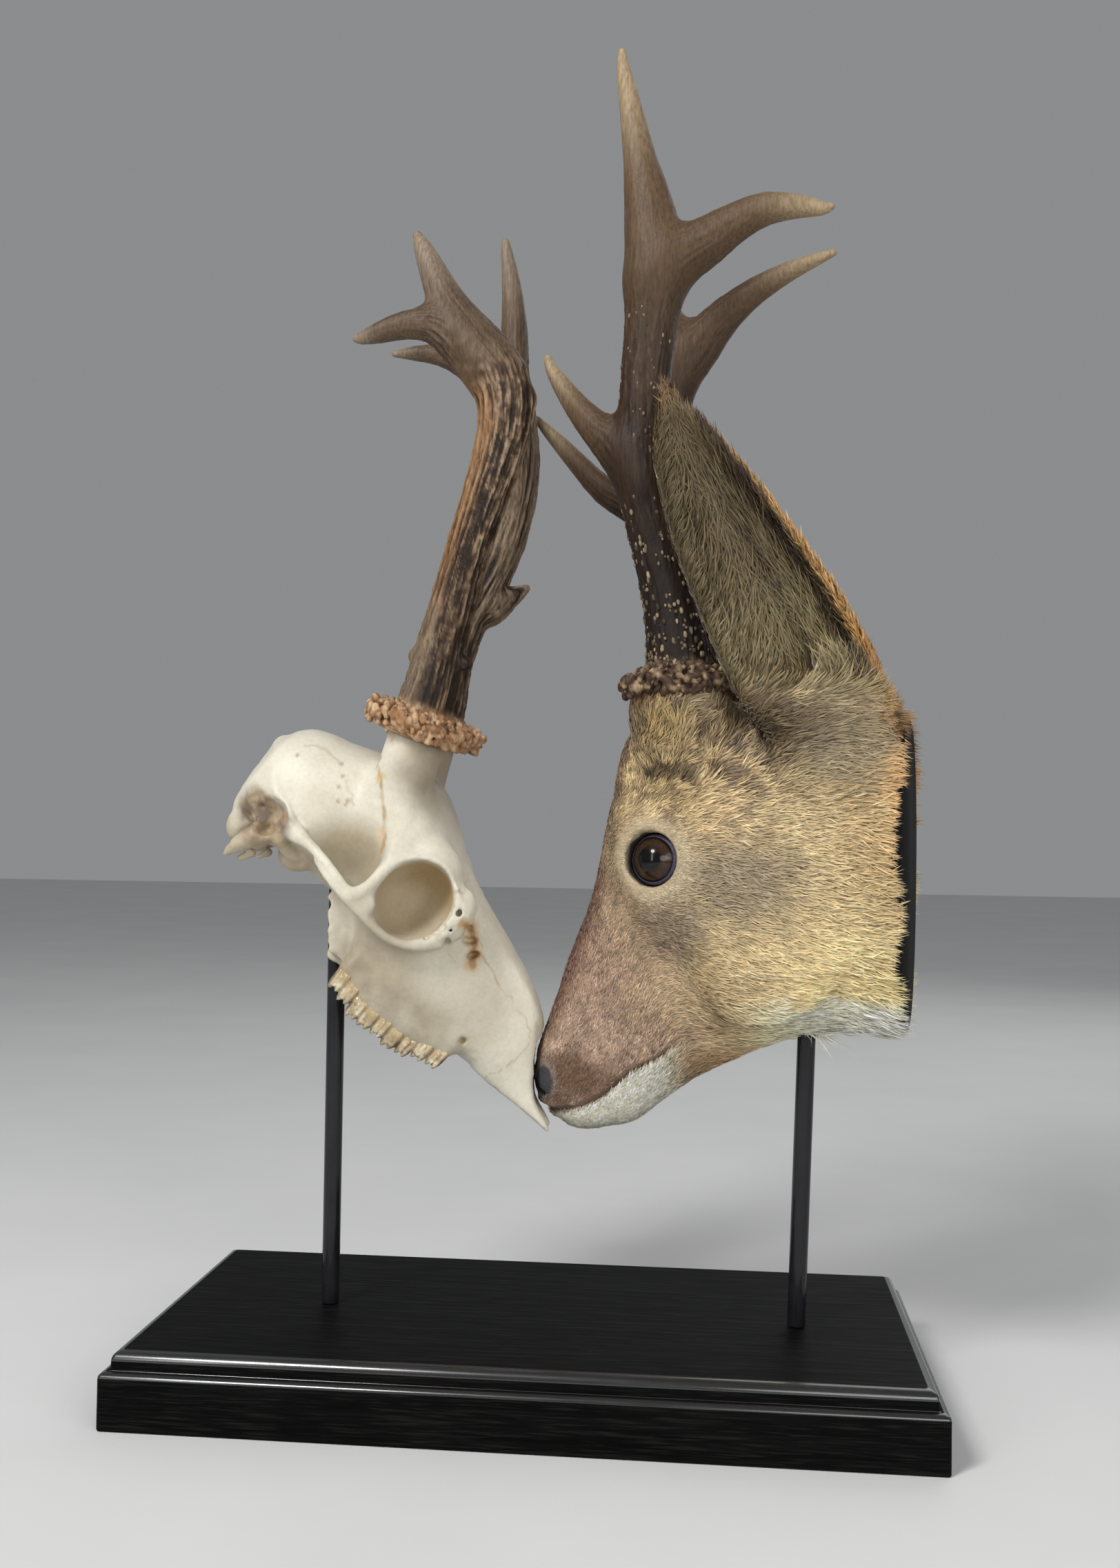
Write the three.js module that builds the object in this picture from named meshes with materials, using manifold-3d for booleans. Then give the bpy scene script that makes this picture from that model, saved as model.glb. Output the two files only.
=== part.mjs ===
// A roe deer study mount, in millimetres, +Z up: a bare skull and a stuffed head of the same species meet
// nose to nose on two rods over an ebonised plinth. The origin is the centre of the plinth's underside,
// +X runs along the plinth from the skull to the head, and -Y is the side that the mount is seen from.
import * as THREE from "three";
import { mergeVertices } from "three/addons/utils/BufferGeometryUtils.js";
import Module from "manifold-3d";

const wasm = await Module();
wasm.setup();

// ---- Driving dimensions ------------------------------------------------------------------------------

const BASE = { length: 340, depth: 166, height: 31, faceHeight: 23.5, stepInset: 4, topInset: 8 };
const ROD_DIAMETER = 8;
const SKULL_ROD = { x: -93.5, y: -3.5, top: 222, lean: 0 };
const HEAD_ROD = { x: 114.8, y: -7.3, top: 225, lean: THREE.MathUtils.degToRad(1.6) };
const CUT = 0.3; // width of the thin gap between two neighbouring parts

// The skull's own frame: x forward along the palate, y to the animal's left, z dorsal, origin at the
// tip of the premaxillae. A station s is the distance behind that tip, so x = -s.
const SKULL = { tip: [3.8, 6.5, 109.5], noseDown: THREE.MathUtils.degToRad(40), yaw: THREE.MathUtils.degToRad(5) };
const ORBIT = { station: 113.5, height: 41, radius: 17.6, rim: 2.5, across: 38 };
const TEETH = { front: 57.5, back: 119, lobes: 9, width: 9, height: 14 };
const PEDICLE_RADIUS = 12.3;
const CORONET = { radius: 24.5, height: 11.5 };

// The stuffed head's own frame: x backward, y to the animal's right, z up, origin below the rod's hole.
const HEAD = { x: 115, y: -7, yaw: THREE.MathUtils.degToRad(-10), neckCut: 47 };

// ---- Shape helpers -----------------------------------------------------------------------------------

// A manifold solid from a closed three.js geometry, turned outwards if it faces inwards.
function solid(geometry) {
  const bare = geometry.index ? geometry.toNonIndexed() : geometry.clone();
  bare.deleteAttribute("normal");
  bare.deleteAttribute("uv");
  const merged = mergeVertices(bare, 1e-4);
  const triVerts = new Uint32Array(merged.index.array);
  const vertProperties = merged.attributes.position.array;
  const made = new wasm.Manifold(new wasm.Mesh({ numProp: 3, vertProperties, triVerts }));
  if (made.volume() > 0) return made;
  for (let i = 0; i < triVerts.length; i += 3)
    [triVerts[i + 1], triVerts[i + 2]] = [triVerts[i + 2], triVerts[i + 1]];
  return new wasm.Manifold(new wasm.Mesh({ numProp: 3, vertProperties, triVerts }));
}

// The largest single body of a manifold solid, as a three.js geometry.
function geometryOf(body) {
  const largest = body.decompose().sort((a, b) => b.volume() - a.volume())[0];
  const mesh = largest.getMesh();
  const position = new Float32Array(mesh.numVert * 3);
  for (let i = 0; i < mesh.numVert; i++)
    position.set(mesh.vertProperties.subarray(i * mesh.numProp, i * mesh.numProp + 3), i * 3);
  return new THREE.BufferGeometry()
    .setAttribute("position", new THREE.BufferAttribute(position, 3))
    .setIndex(new THREE.BufferAttribute(mesh.triVerts, 1));
}

const join = (...solids) => solids.flat().reduce((a, b) => a.add(b));
const bothSides = (make) => [make(-1), make(1)]; // in the skull, -1 is the right side, nearest the viewer
const around = (sides, make) => Array.from({ length: sides }, (_, i) => make((i / sides) * 2 * Math.PI));
const steps = (count, make) => Array.from({ length: count }, (_, i) => make(i / (count - 1)));

// A closed skin over a row of rings, each a list of the same number of points.
function skinOver(rings) {
  const count = rings[0].length;
  const centre = (ring) => ring.reduce((a, p) => a.add(p), new THREE.Vector3()).divideScalar(count);
  const points = [...rings.flat(), centre(rings[0]), centre(rings[rings.length - 1])];
  const index = [];
  for (let r = 0; r + 1 < rings.length; r++)
    for (let i = 0; i < count; i++) {
      const [a, b] = [r * count + i, r * count + ((i + 1) % count)];
      index.push(a, b, b + count, a, b + count, a + count);
    }
  const last = (rings.length - 1) * count;
  for (let i = 0; i < count; i++) {
    const next = (i + 1) % count;
    index.push(next, i, points.length - 2, last + i, last + next, points.length - 1);
  }
  return solid(new THREE.BufferGeometry().setFromPoints(points).setIndex(index));
}

// Smooth values between the rows of a table whose first column rises.
function smoothTable(rows) {
  const width = rows[0].length - 1;
  const spline = new THREE.CubicInterpolant(
    Float64Array.from(rows, (row) => row[0]),
    Float64Array.from(rows.flatMap((row) => row.slice(1))),
    width,
    new Float64Array(width),
  );
  return (at) => Array.from(spline.evaluate(at));
}

const signedPower = (value, power) => Math.sign(value) * Math.abs(value) ** power;

// A point of a closed section at an angle: a rounded box of the given squareness (2 is an ellipse).
function sectionPoint(angle, squareness) {
  return [signedPower(Math.cos(angle), 2 / squareness), signedPower(Math.sin(angle), 2 / squareness)];
}

// A round tube through [x, y, z, radius] rows.
function tube(rows, sides, rings) {
  const curve = new THREE.CatmullRomCurve3(rows.map(([x, y, z]) => new THREE.Vector3(x, y, z)));
  const radiusAt = (t) => {
    const at = t * (rows.length - 1);
    const i = Math.min(rows.length - 2, Math.floor(at));
    return THREE.MathUtils.lerp(rows[i][3], rows[i + 1][3], at - i);
  };
  const { normals, binormals } = curve.computeFrenetFrames(rings, false);
  return skinOver(
    steps(rings + 1, (share) => {
      const t = curve.getUtoTmapping(share);
      const k = Math.round(share * rings);
      const radius = radiusAt(t);
      return around(sides, (angle) =>
        curve
          .getPoint(t)
          .addScaledVector(normals[k], Math.cos(angle) * radius)
          .addScaledVector(binormals[k], Math.sin(angle) * radius),
      );
    }),
  );
}

function ellipsoid([x, y, z], [rx, ry, rz], turnY = 0, sides = 8) {
  const shape = new THREE.SphereGeometry(1, sides, Math.round(sides * 0.6)).scale(rx, ry, rz).rotateY(turnY);
  return solid(shape.translate(x, y, z));
}

function block([x0, y0, z0], [x1, y1, z1]) {
  const shape = new THREE.BoxGeometry(x1 - x0, y1 - y0, z1 - z0);
  return solid(shape.translate((x0 + x1) / 2, (y0 + y1) / 2, (z0 + z1) / 2));
}

// A round block that starts at a plane and runs along the plane's normal.
function roundBlock(start, normal, radius, length = 200, sides = 20) {
  const shape = new THREE.CylinderGeometry(radius, radius, length, sides).translate(0, length / 2, 0);
  const up = new THREE.Vector3(0, 1, 0);
  shape.applyQuaternion(new THREE.Quaternion().setFromUnitVectors(up, normal.clone().normalize()));
  return shape.translate(start.x, start.y, start.z);
}

const alongAxis = (start, axis, distance) => start.clone().addScaledVector(axis.clone().normalize(), distance);

function named(name, body, material) {
  const mesh = new THREE.Mesh(geometryOf(body), material);
  mesh.name = name;
  return mesh;
}

// ---- Plinth and rods -----------------------------------------------------------------------------------

// Points [inset, height] up the moulded edge: a plain face, a lower and an upper quarter-round, the top.
function plinthProfile() {
  const { height, faceHeight, stepInset, topInset } = BASE;
  const upper = 3.5;
  const lower = 2;
  const quarter = (inset, z, across, rise) =>
    steps(4, (t) => {
      const angle = t * (Math.PI / 2);
      return [inset + across * (1 - Math.cos(angle)), z + rise * Math.sin(angle)];
    });
  return [
    [0, 0],
    ...quarter(0, faceHeight - lower, stepInset, lower),
    ...quarter(stepInset, height - upper, topInset - stepInset, upper),
  ];
}

function plinth() {
  const cornerRadius = 1.2;
  const corners = [[1, 1], [-1, 1], [-1, -1], [1, -1]];
  return skinOver(
    plinthProfile().map(([inset, z]) => {
      const [halfLength, halfDepth] = [BASE.length / 2 - inset, BASE.depth / 2 - inset];
      return corners.flatMap(([alongX, alongY], quarter) =>
        [0, 0.5, 1].map((share) => {
          const angle = (quarter + share) * (Math.PI / 2);
          const x = alongX * (halfLength - cornerRadius) + cornerRadius * Math.cos(angle);
          const y = alongY * (halfDepth - cornerRadius) + cornerRadius * Math.sin(angle);
          return new THREE.Vector3(x, y, z);
        }),
      );
    }),
  );
}

// A rod that stands on the plinth; slack widens it into the hole that it fits.
function rodShape({ x, y, top, lean }, slack = 0) {
  const radius = ROD_DIAMETER / 2 + slack;
  const foot = BASE.height + CUT + radius * Math.sin(lean); // a leaning rod's foot clears the plinth all round
  const length = (top - foot) / Math.cos(lean) + slack;
  const shape = new THREE.CylinderGeometry(radius, radius, length, 16);
  return shape.rotateX(Math.PI / 2).translate(0, 0, length / 2).rotateY(lean).translate(x, y, foot);
}

const holeFor = (rod, group) => solid(rodShape(rod, CUT).applyMatrix4(group.matrixWorld.clone().invert()));

// ---- Skull ---------------------------------------------------------------------------------------------

// A symmetrical hull along the skull, from rows of [station, height of the widest line, half width, rise to
// the top, fall to the bottom, squareness of the upper half, squareness of the lower half].
function hull(rows, rings, sides) {
  const at = smoothTable(rows);
  return skinOver(
    steps(rings, (share) => {
      const station = THREE.MathUtils.lerp(rows[0][0], rows[rows.length - 1][0], share);
      const [middle, halfWidth, rise, fall, squareTop, squareBottom] = at(station);
      return around(sides, (angle) => {
        const upper = Math.sin(angle) >= 0;
        const [across, up] = sectionPoint(angle, upper ? squareTop : squareBottom);
        return new THREE.Vector3(-station, across * halfWidth, middle + up * (upper ? rise : fall));
      });
    }),
  );
}

// Muzzle, forehead and braincase as one hull, without their hollows.
function cranium() {
  const rows = [
    [24, 11, 8, 9, 11, 2.4, 2.6],
    [34, 15, 12, 18, 15, 2.5, 2.8],
    [45, 14, 15, 27.5, 14, 2.5, 2.9],
    [57, 12, 18.5, 35, 13, 2.5, 2.9],
    [70, 9, 22.5, 43, 17, 2.5, 2.9],
    [85, 9, 26, 48, 19, 2.5, 2.9],
    [98, 13, 29, 49.5, 22, 2.5, 2.9],
    [108, 24, 30.5, 44.5, 30, 2.5, 2.8],
    [117, 38, 32, 37, 41, 2.5, 2.6],
    [126, 50, 33.5, 31, 40, 2.4, 2.4],
    [136, 51, 33, 35, 33, 2.3, 2.2],
    [146, 51, 31, 36, 33, 2.2, 2.2],
    [158, 49, 31, 35.5, 31, 2.1, 2.2],
    [172, 47, 32, 32.6, 30, 2.1, 2.2],
    [184, 44, 30.5, 31.2, 29, 2.1, 2.2],
    [194, 41.5, 27.5, 30.6, 27, 2.1, 2.2],
    [201, 40, 24, 28, 26, 2.1, 2.2],
    [206, 40, 18, 22, 20, 2.1, 2.2],
    [209, 42, 9, 14, 11, 2.1, 2.2],
  ];
  return hull(rows, 16, 12);
}

// The pieces that stand out from the back of the braincase.
function occiput() {
  const nuchalCrest = tube(
    [
      [-182, -29, 31, 2.6],
      [-195, -25.5, 40, 2.8],
      [-203.5, -15, 51, 2.8],
      [-207.5, 0, 54.5, 3],
      [-203.5, 15, 51, 2.8],
      [-195, 25.5, 40, 2.8],
      [-182, 29, 31, 2.6],
    ],
    4,
    6,
  );
  const pairs = bothSides((side) => [
    ellipsoid([-195.5, side * 10.5, 15], [7, 7.5, 8.5], 0.5), // occipital condyle
    tube([[-182, side * 24, 26, 6.5], [-188, side * 23, 14, 4.5], [-191, side * 21, 2, 1.4]], 6, 3), // jugular process
    ellipsoid([-166, side * 16, 21], [9.5, 6.5, 7.5], 0.3), // auditory bulla
  ]);
  return join(nuchalCrest, pairs.flat());
}

// The cup of bone round an eye, from inside the head out to the rim of the socket.
function orbitCup(side) {
  const { station, height, radius, rim, across } = ORBIT;
  const rimRadius = radius + rim;
  const profile = [[0, -34], [0.8, -34], [1.1, -16], [1.08, -5], [1, 0], [0.8, -1], [0, -1]];
  const shape = new THREE.LatheGeometry(profile.map(([r, out]) => new THREE.Vector2(r * rimRadius, out)), 11);
  const outward = new THREE.Vector3(0.26, side, 0.09).normalize();
  shape.applyQuaternion(new THREE.Quaternion().setFromUnitVectors(new THREE.Vector3(0, 1, 0), outward));
  return solid(shape.translate(-station, side * across, height));
}

// The cheek arch and the bar behind the eye, which meet below and behind the socket.
function zygomaticArch(side) {
  const arch = [
    [-96, 33, 21, 3],
    [-108, 38, 21, 3.2],
    [-121, 42, 21.5, 3.4],
    [-134, 44, 24.5, 3.6],
    [-147, 43, 27.5, 3],
    [-159, 40, 30.5, 2.8],
    [-170, 33, 29.5, 3.6],
    [-175, 26, 31, 4.5],
  ];
  const bar = [[-129, 27, 64, 7], [-132, 37, 52, 4.4], [-133.5, 42, 40, 4], [-132, 43.5, 29, 4.6]];
  const mirrored = (rows) => rows.map(([x, y, z, radius]) => [x, side * y, z, radius]);
  return join(tube(mirrored(arch), 6, 8), tube(mirrored(bar), 5, 4));
}

// The cheek teeth of one side as one ridge with a notch between its lobes, running from three premolars of
// one lobe each to three molars of two lobes each.
function toothRow(side) {
  const { front, back, lobes, width, height } = TEETH;
  return skinOver(
    steps(2 * lobes + 1, (share) => {
      const station = THREE.MathUtils.lerp(front, back, share);
      const across = side * (15.5 + 5.5 * Math.sin(Math.min(1, share * 1.3) * (Math.PI / 2)));
      const notch = Math.abs(Math.cos(share * lobes * Math.PI));
      const low = -5.5 - 12.5 * Math.sin(Math.PI * (0.14 + share * 0.66)) + 3.2 * notch;
      const half = width / 2 - 1.2 * notch;
      return [[-1, low], [1, low], [1.1, low + height], [-1.1, low + height]].map(
        ([edge, z]) => new THREE.Vector3(-station, across + edge * half, z),
      );
    }),
  );
}

// The thin wall of bone on each side of the throat channel, ending in the hook of the pterygoid.
function palatineWall(side) {
  const rows = [
    [104, -6, 30],
    [114, -5.5, 30],
    [124, -4, 26],
    [129.5, -4.5, 22],
    [132.5, 2, 22],
    [143, 14, 26],
  ];
  const halfThickness = 2.4;
  return skinOver(
    rows.map(([station, low, high]) =>
      [[-1, low], [1, low], [1, high], [-1, high]].map(
        ([edge, z]) => new THREE.Vector3(-station, side * 10 + edge * halfThickness, z),
      ),
    ),
  );
}

// Each premaxilla is a blade that sweeps down and forward to a flat tip.
function premaxilla(side) {
  const rows = [
    [37, 9, 16, 15.5],
    [31, 8.6, 13.5, 13],
    [26, 8.2, 10, 9.8],
    [21, 7.6, 6.8, 6.8],
    [16, 7, 4.2, 4.2],
    [11, 6.4, 2.6, 3],
    [5, 5.4, 1.3, 2.2],
    [0.8, 4.2, 0.6, 1.4],
  ];
  const halfThickness = 3.2;
  return skinOver(
    rows.map(([station, across, middle, halfHeight]) =>
      around(8, (angle) => {
        const [out, up] = sectionPoint(angle, 2.6);
        return new THREE.Vector3(-station, side * across + out * halfThickness, middle + up * halfHeight);
      }),
    ),
  );
}

// A shallow roof from the forehead to the nose opening.
function nasals() {
  const rows = [
    [34.5, 34, 5.5, 2, 1.8, 2.3, 2],
    [40, 37.5, 8.5, 2.6, 3, 2.3, 2],
    [52, 43, 10.5, 3.4, 4, 2.3, 2],
    [66, 48, 11.5, 3.5, 5, 2.3, 2],
    [80, 52.5, 12.5, 3.8, 6, 2.3, 2],
    [94, 57, 12, 4, 7, 2.3, 2],
    [104, 61, 9, 4, 7, 2.3, 2],
  ];
  return hull(rows, 6, 8);
}

function pedicle(side) {
  const rows = [
    [-142, side * 19, 56, PEDICLE_RADIUS + 6],
    [-149, side * 24, 72, PEDICLE_RADIUS + 3],
    [-155.5, side * 26.5, 86, PEDICLE_RADIUS + 0.8],
    [-163, side * 27, 104, PEDICLE_RADIUS],
  ];
  return tube(rows, 8, 3);
}

// Hollows that open to the outside: eye sockets, nose, foramen magnum, throat channel, tear and ear pits.
function skullHollows() {
  const { station, height, radius } = ORBIT;
  const pairs = bothSides((side) => [
    ellipsoid([-station, side * 45, height], [radius, 27, radius], 0, 10), // eye socket
    ellipsoid([-83, side * 23, 45], [7, 5, 4.5], 0.7), // tear pit
    ellipsoid([-189, side * 31, 26], [8.5, 7.5, 8.5], 0.2), // ear hollow
  ]);
  const nose = tube([[8, 0, 24, 9], [-14, 0, 22, 8.6], [-30, 0, 21, 8.6], [-48, 0, 22, 8.4], [-64, 0, 24, 6]], 6, 4);
  const foramen = tube([[-214, 0, 19, 8], [-204, 0, 21, 7.4], [-190, 0, 27, 5]], 6, 2);
  const throat = tube([[-108, 0, -16, 7.4], [-118, 0, -2, 7.4], [-130, 0, 4, 7.4], [-150, 0, 0, 7.4]], 6, 3);
  return join(pairs.flat(), nose, foramen, throat);
}

// Everything behind a sloping plane through two points [station, height] of the skull's side view.
function behindPlane([[stationLow, low], [stationHigh, high]], shift = 0) {
  const reach = 400;
  const lean = Math.atan2(stationHigh - stationLow, high - low);
  const shape = new THREE.BoxGeometry(reach, reach, reach).translate(-reach / 2 - shift, 0, 0);
  return solid(shape.rotateY(-lean).translate(-stationLow, 0, low));
}

// The skull is modelled whole in its own frame, then parted along its main sutures.
function skullParts(group) {
  const antlerSeats = [RIGHT_ANTLER, LEFT_ANTLER].map((antler) => {
    const { foot, axis } = footOf(antler.beam);
    const seat = roundBlock(alongAxis(foot, axis, -CUT), axis, CORONET.radius + 4, 30);
    return solid(seat.applyMatrix4(group.matrixWorld.clone().invert()));
  });
  const bones = bothSides((side) => [
    orbitCup(side),
    zygomaticArch(side),
    palatineWall(side),
    premaxilla(side),
    pedicle(side),
    toothRow(side),
  ]);
  const whole = join(cranium(), occiput(), nasals(), bones.flat())
    .subtract(skullHollows())
    .subtract(join(antlerSeats))
    .subtract(holeFor(SKULL_ROD, group));

  const coronal = [[136, 20], [172, 82]];
  const maxillary = [[124, -20], [90, 62]];
  const incisive = [[36, -10], [30, 40]];
  const behind = (body, plane) => body.intersect(behindPlane(plane, CUT / 2));
  const before = (body, plane) => body.subtract(behindPlane(plane, -CUT / 2));
  const archBox = (side, grow) => {
    const [inner, outer] = [37 - grow, 60];
    const across = side < 0 ? [-outer, -inner] : [inner, outer];
    return block([-166 - grow, across[0], 10], [-116 + grow, across[1], 45 + grow]);
  };
  const nasalBox = (grow) => {
    const shape = new THREE.BoxGeometry(90, 2 * (12.6 + grow), 24 + 2 * grow);
    return solid(shape.translate(0, 0, 12).rotateY(0.39).translate(-70, 0, 42.5));
  };
  const noArches = whole.subtract(join(archBox(-1, CUT), archBox(1, CUT)));
  const snout = before(noArches, maxillary);
  const besideNasals = snout.subtract(nasalBox(CUT));
  return [
    named("skull_braincase", behind(noArches, coronal), BONE),
    named("skull_frontal", before(behind(noArches, maxillary), coronal), BONE),
    named("skull_maxilla", behind(besideNasals, incisive), BONE),
    named("skull_premaxilla", before(besideNasals, incisive), BONE),
    named("skull_nasals", snout.intersect(nasalBox(0)), BONE),
    named("skull_arch_right", whole.intersect(archBox(-1, 0)), BONE),
    named("skull_arch_left", whole.intersect(archBox(1, 0)), BONE),
  ];
}

// ---- Antlers -------------------------------------------------------------------------------------------

// The skull's antlers in the mount's frame. `beam` runs from the foot to the tip of the upper tine and
// `back` along the rear tine, as rows of [x, y, z, radius]; each tine parts from the beam at a numbered row.
const RIGHT_ANTLER = {
  beam: [
    [-55, -25.6, 286.5, 12.6],
    [-48.5, -27, 305, 12.4],
    [-43, -28.5, 325, 11],
    [-37, -30.5, 347, 10],
    [-31, -32.5, 368, 9.8],
    [-24, -34, 390, 10.2],
    [-17.5, -35, 411, 11],
    [-15, -35.5, 428, 12.2],
    [-18, -35.3, 443, 12.6],
    [-27, -35, 456, 11.6],
    [-36, -34.5, 468, 9.6],
    [-43, -34, 479, 8],
    [-48.5, -33, 491, 6.2],
    [-53, -32, 501, 4.4],
    [-56.5, -31, 509, 1.6],
  ],
  back: [
    [-24, -35, 446, 9.5],
    [-36, -36, 458, 9.2],
    [-47, -37, 465.5, 7.8],
    [-59, -37.5, 466, 6.2],
    [-71, -37, 463, 4.6],
    [-79, -36, 461, 2.8],
    [-82.5, -35.5, 461, 1],
  ],
  topParts: 11,
  backParts: 3,
  knobs: [[-6, -34.5, 433, 4.2], [-59, -30, 324, 3.4], [-31.5, -31, 318, 3.6]],
};
const LEFT_ANTLER = {
  beam: [
    [-57.5, 27.3, 286, 12.4],
    [-53, 28.5, 306, 12.2],
    [-50, 30, 325, 11.4],
    [-43, 32, 346, 11],
    [-33, 33.5, 366, 11],
    [-26, 34.5, 384, 11.2],
    [-21, 35.5, 405, 11.6],
    [-20, 36, 424, 12],
    [-21, 37, 442, 11.2],
    [-22, 38, 458, 8.8],
    [-21.5, 38.5, 476, 7],
    [-22, 38.5, 494, 6],
    [-23.5, 38, 511, 4.6],
    [-25.5, 37.5, 524, 3.2],
    [-26.5, 37, 532, 1.2],
  ],
  back: [
    [-24, 37, 446, 9],
    [-34, 37.5, 462, 8],
    [-46, 38, 471.5, 6.4],
    [-58, 38, 476.5, 5],
    [-70, 37.5, 477.5, 3.6],
    [-80.5, 36.5, 477, 1.2],
  ],
  topParts: 10,
  backParts: 2,
  knobs: [[-24, 34, 357, 7], [-18, 34.5, 361, 4.4]],
};

function footOf(beam) {
  const foot = new THREE.Vector3(...beam[0].slice(0, 3));
  const axis = new THREE.Vector3(...beam[1].slice(0, 3)).sub(foot).normalize();
  return { foot, axis };
}

// A coronet of knobs round an antler, with its underside at the foot of the axis.
function coronet(foot, axis, { radius, height }) {
  const profile = [[0, 0], [0.85, 0], [1, 0.4], [0.95, 0.75], [0.7, 1], [0, 1]];
  const shape = new THREE.LatheGeometry(profile.map(([r, z]) => new THREE.Vector2(r * radius, z * height)), 11);
  const position = shape.attributes.position;
  for (let i = 0; i < position.count; i++) {
    const [x, y, z] = [position.getX(i), position.getY(i), position.getZ(i)];
    const out = Math.hypot(x, z) / radius;
    const angle = Math.atan2(z, x);
    const knob = 1 + 0.05 * out ** 3 * (Math.cos(5 * angle) + 0.6 * Math.cos(3 * angle + 1));
    position.setXYZ(i, x * knob, y * (1 + 0.14 * out * Math.cos(6 * angle + 2)), z * knob);
  }
  const up = new THREE.Vector3(0, 1, 0);
  shape.applyQuaternion(new THREE.Quaternion().setFromUnitVectors(up, axis));
  return solid(shape.translate(foot.x, foot.y, foot.z));
}

// One skull antler, parted above its coronet and where its two tines leave the beam.
function antlerParts(prefix, antler) {
  const { foot, axis } = footOf(antler.beam);
  const knobs = antler.knobs.map(([x, y, z, radius]) => ellipsoid([x, y, z], [radius, radius, radius], 0, 6));
  const whole = join(tube(antler.beam, 6, 14), tube(antler.back, 5, 6), coronet(foot, axis, CORONET), knobs);
  const neck = alongAxis(foot, axis, CORONET.height * 0.86);
  const above = (start) => solid(roundBlock(start, axis, 300, 400));
  const coronetPart = whole.intersect(above(foot)).subtract(above(neck));
  let rest = whole.intersect(above(alongAxis(neck, axis, CUT)));
  const forks = { top: [antler.beam, antler.topParts], back: [antler.back, antler.backParts] };
  const tines = Object.entries(forks).map(([name, [rows, row]]) => {
    const start = new THREE.Vector3(...rows[row].slice(0, 3));
    const along = new THREE.Vector3(...rows[row + 1].slice(0, 3)).sub(start);
    const width = rows[row][3] * 2;
    const tine = rest.intersect(solid(roundBlock(start, along, width)));
    rest = rest.subtract(solid(roundBlock(alongAxis(start, along, -CUT), along, width + CUT)));
    return named(`${prefix}_${name}_tine`, tine, ANTLER);
  });
  return [named(`${prefix}_coronet`, coronetPart, ANTLER), named(`${prefix}_beam`, rest, ANTLER), ...tines];
}

// ---- Stuffed head --------------------------------------------------------------------------------------

// Head and neck: sections that turn from the lips to the cut of the neck, as rows of [order, x and z of the
// section's upper end, x and z of its lower end, half width].
function headHull() {
  const rows = [
    [0, -119.5, 140, -117, 122, 9],
    [1, -117.6, 150, -108, 115.5, 15],
    [2, -113.4, 162, -91, 113.5, 17.5],
    [3, -109, 175, -75, 114.5, 19],
    [4, -104.5, 189, -60, 125, 21.5],
    [5, -98.5, 204, -45, 136, 26],
    [6, -92.5, 221, -28, 145, 32],
    [7, -88.5, 241, -12, 152, 38],
    [8, -85, 263, 4, 157, 42],
    [9, -80.5, 288, 17, 158.5, 43],
    [10, -60, 305, 28, 158.5, 43],
    [11, -18, 303, 36, 157.5, 44],
    [12, 18, 302, 42, 157.5, 45.5],
    [13, 47.5, 300, 47.5, 157.5, 47],
  ];
  const at = smoothTable(rows);
  return skinOver(
    steps(14, (share) => {
      const [topX, topZ, bottomX, bottomZ, halfWidth] = at(share * (rows.length - 1));
      return around(12, (angle) => {
        const [across, up] = sectionPoint(angle, 2.25);
        const rise = (1 + up) / 2;
        return new THREE.Vector3(
          THREE.MathUtils.lerp(bottomX, topX, rise),
          across * halfWidth * (0.93 + 0.07 * up),
          THREE.MathUtils.lerp(bottomZ, topZ, rise),
        );
      });
    }),
  );
}

// An upright ear: a leaf, hollowed on its outer side, as rows of [order, x, z, across, half width].
function ear(side) {
  const rows = [
    [0, 22, 268, 24, 12],
    [1, 17, 286, 31, 22],
    [2, 9, 304, 38, 28.5],
    [3, 0, 324, 44, 29.5],
    [4, -11, 345, 49, 27.5],
    [5, -22.5, 366, 53, 24.5],
    [6, -33.5, 387, 56, 20],
    [7, -42.5, 406, 57.5, 14.5],
    [8, -48.5, 421, 58, 7.5],
    [9, -51.5, 431, 58, 2],
  ];
  const at = smoothTable(rows);
  const leaf = (out, shrink, from, rings, sides) =>
    skinOver(
      steps(rings, (share) => {
        const [x, z, across, half] = at(THREE.MathUtils.lerp(from, rows.length - 1, share));
        const halfWidth = Math.max(0.6, half - shrink);
        const halfDepth = Math.max(1.2, half * 0.5);
        return around(sides, (angle) => {
          const along = Math.cos(angle) * halfWidth;
          const y = side * (across + out + Math.sin(angle) * halfDepth);
          return new THREE.Vector3(x + along * 0.9, y, z + along * 0.42);
        });
      }),
    );
  return leaf(0, 0, 0, 8, 7).subtract(leaf(14, 4.5, 2.4, 6, 7));
}

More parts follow.
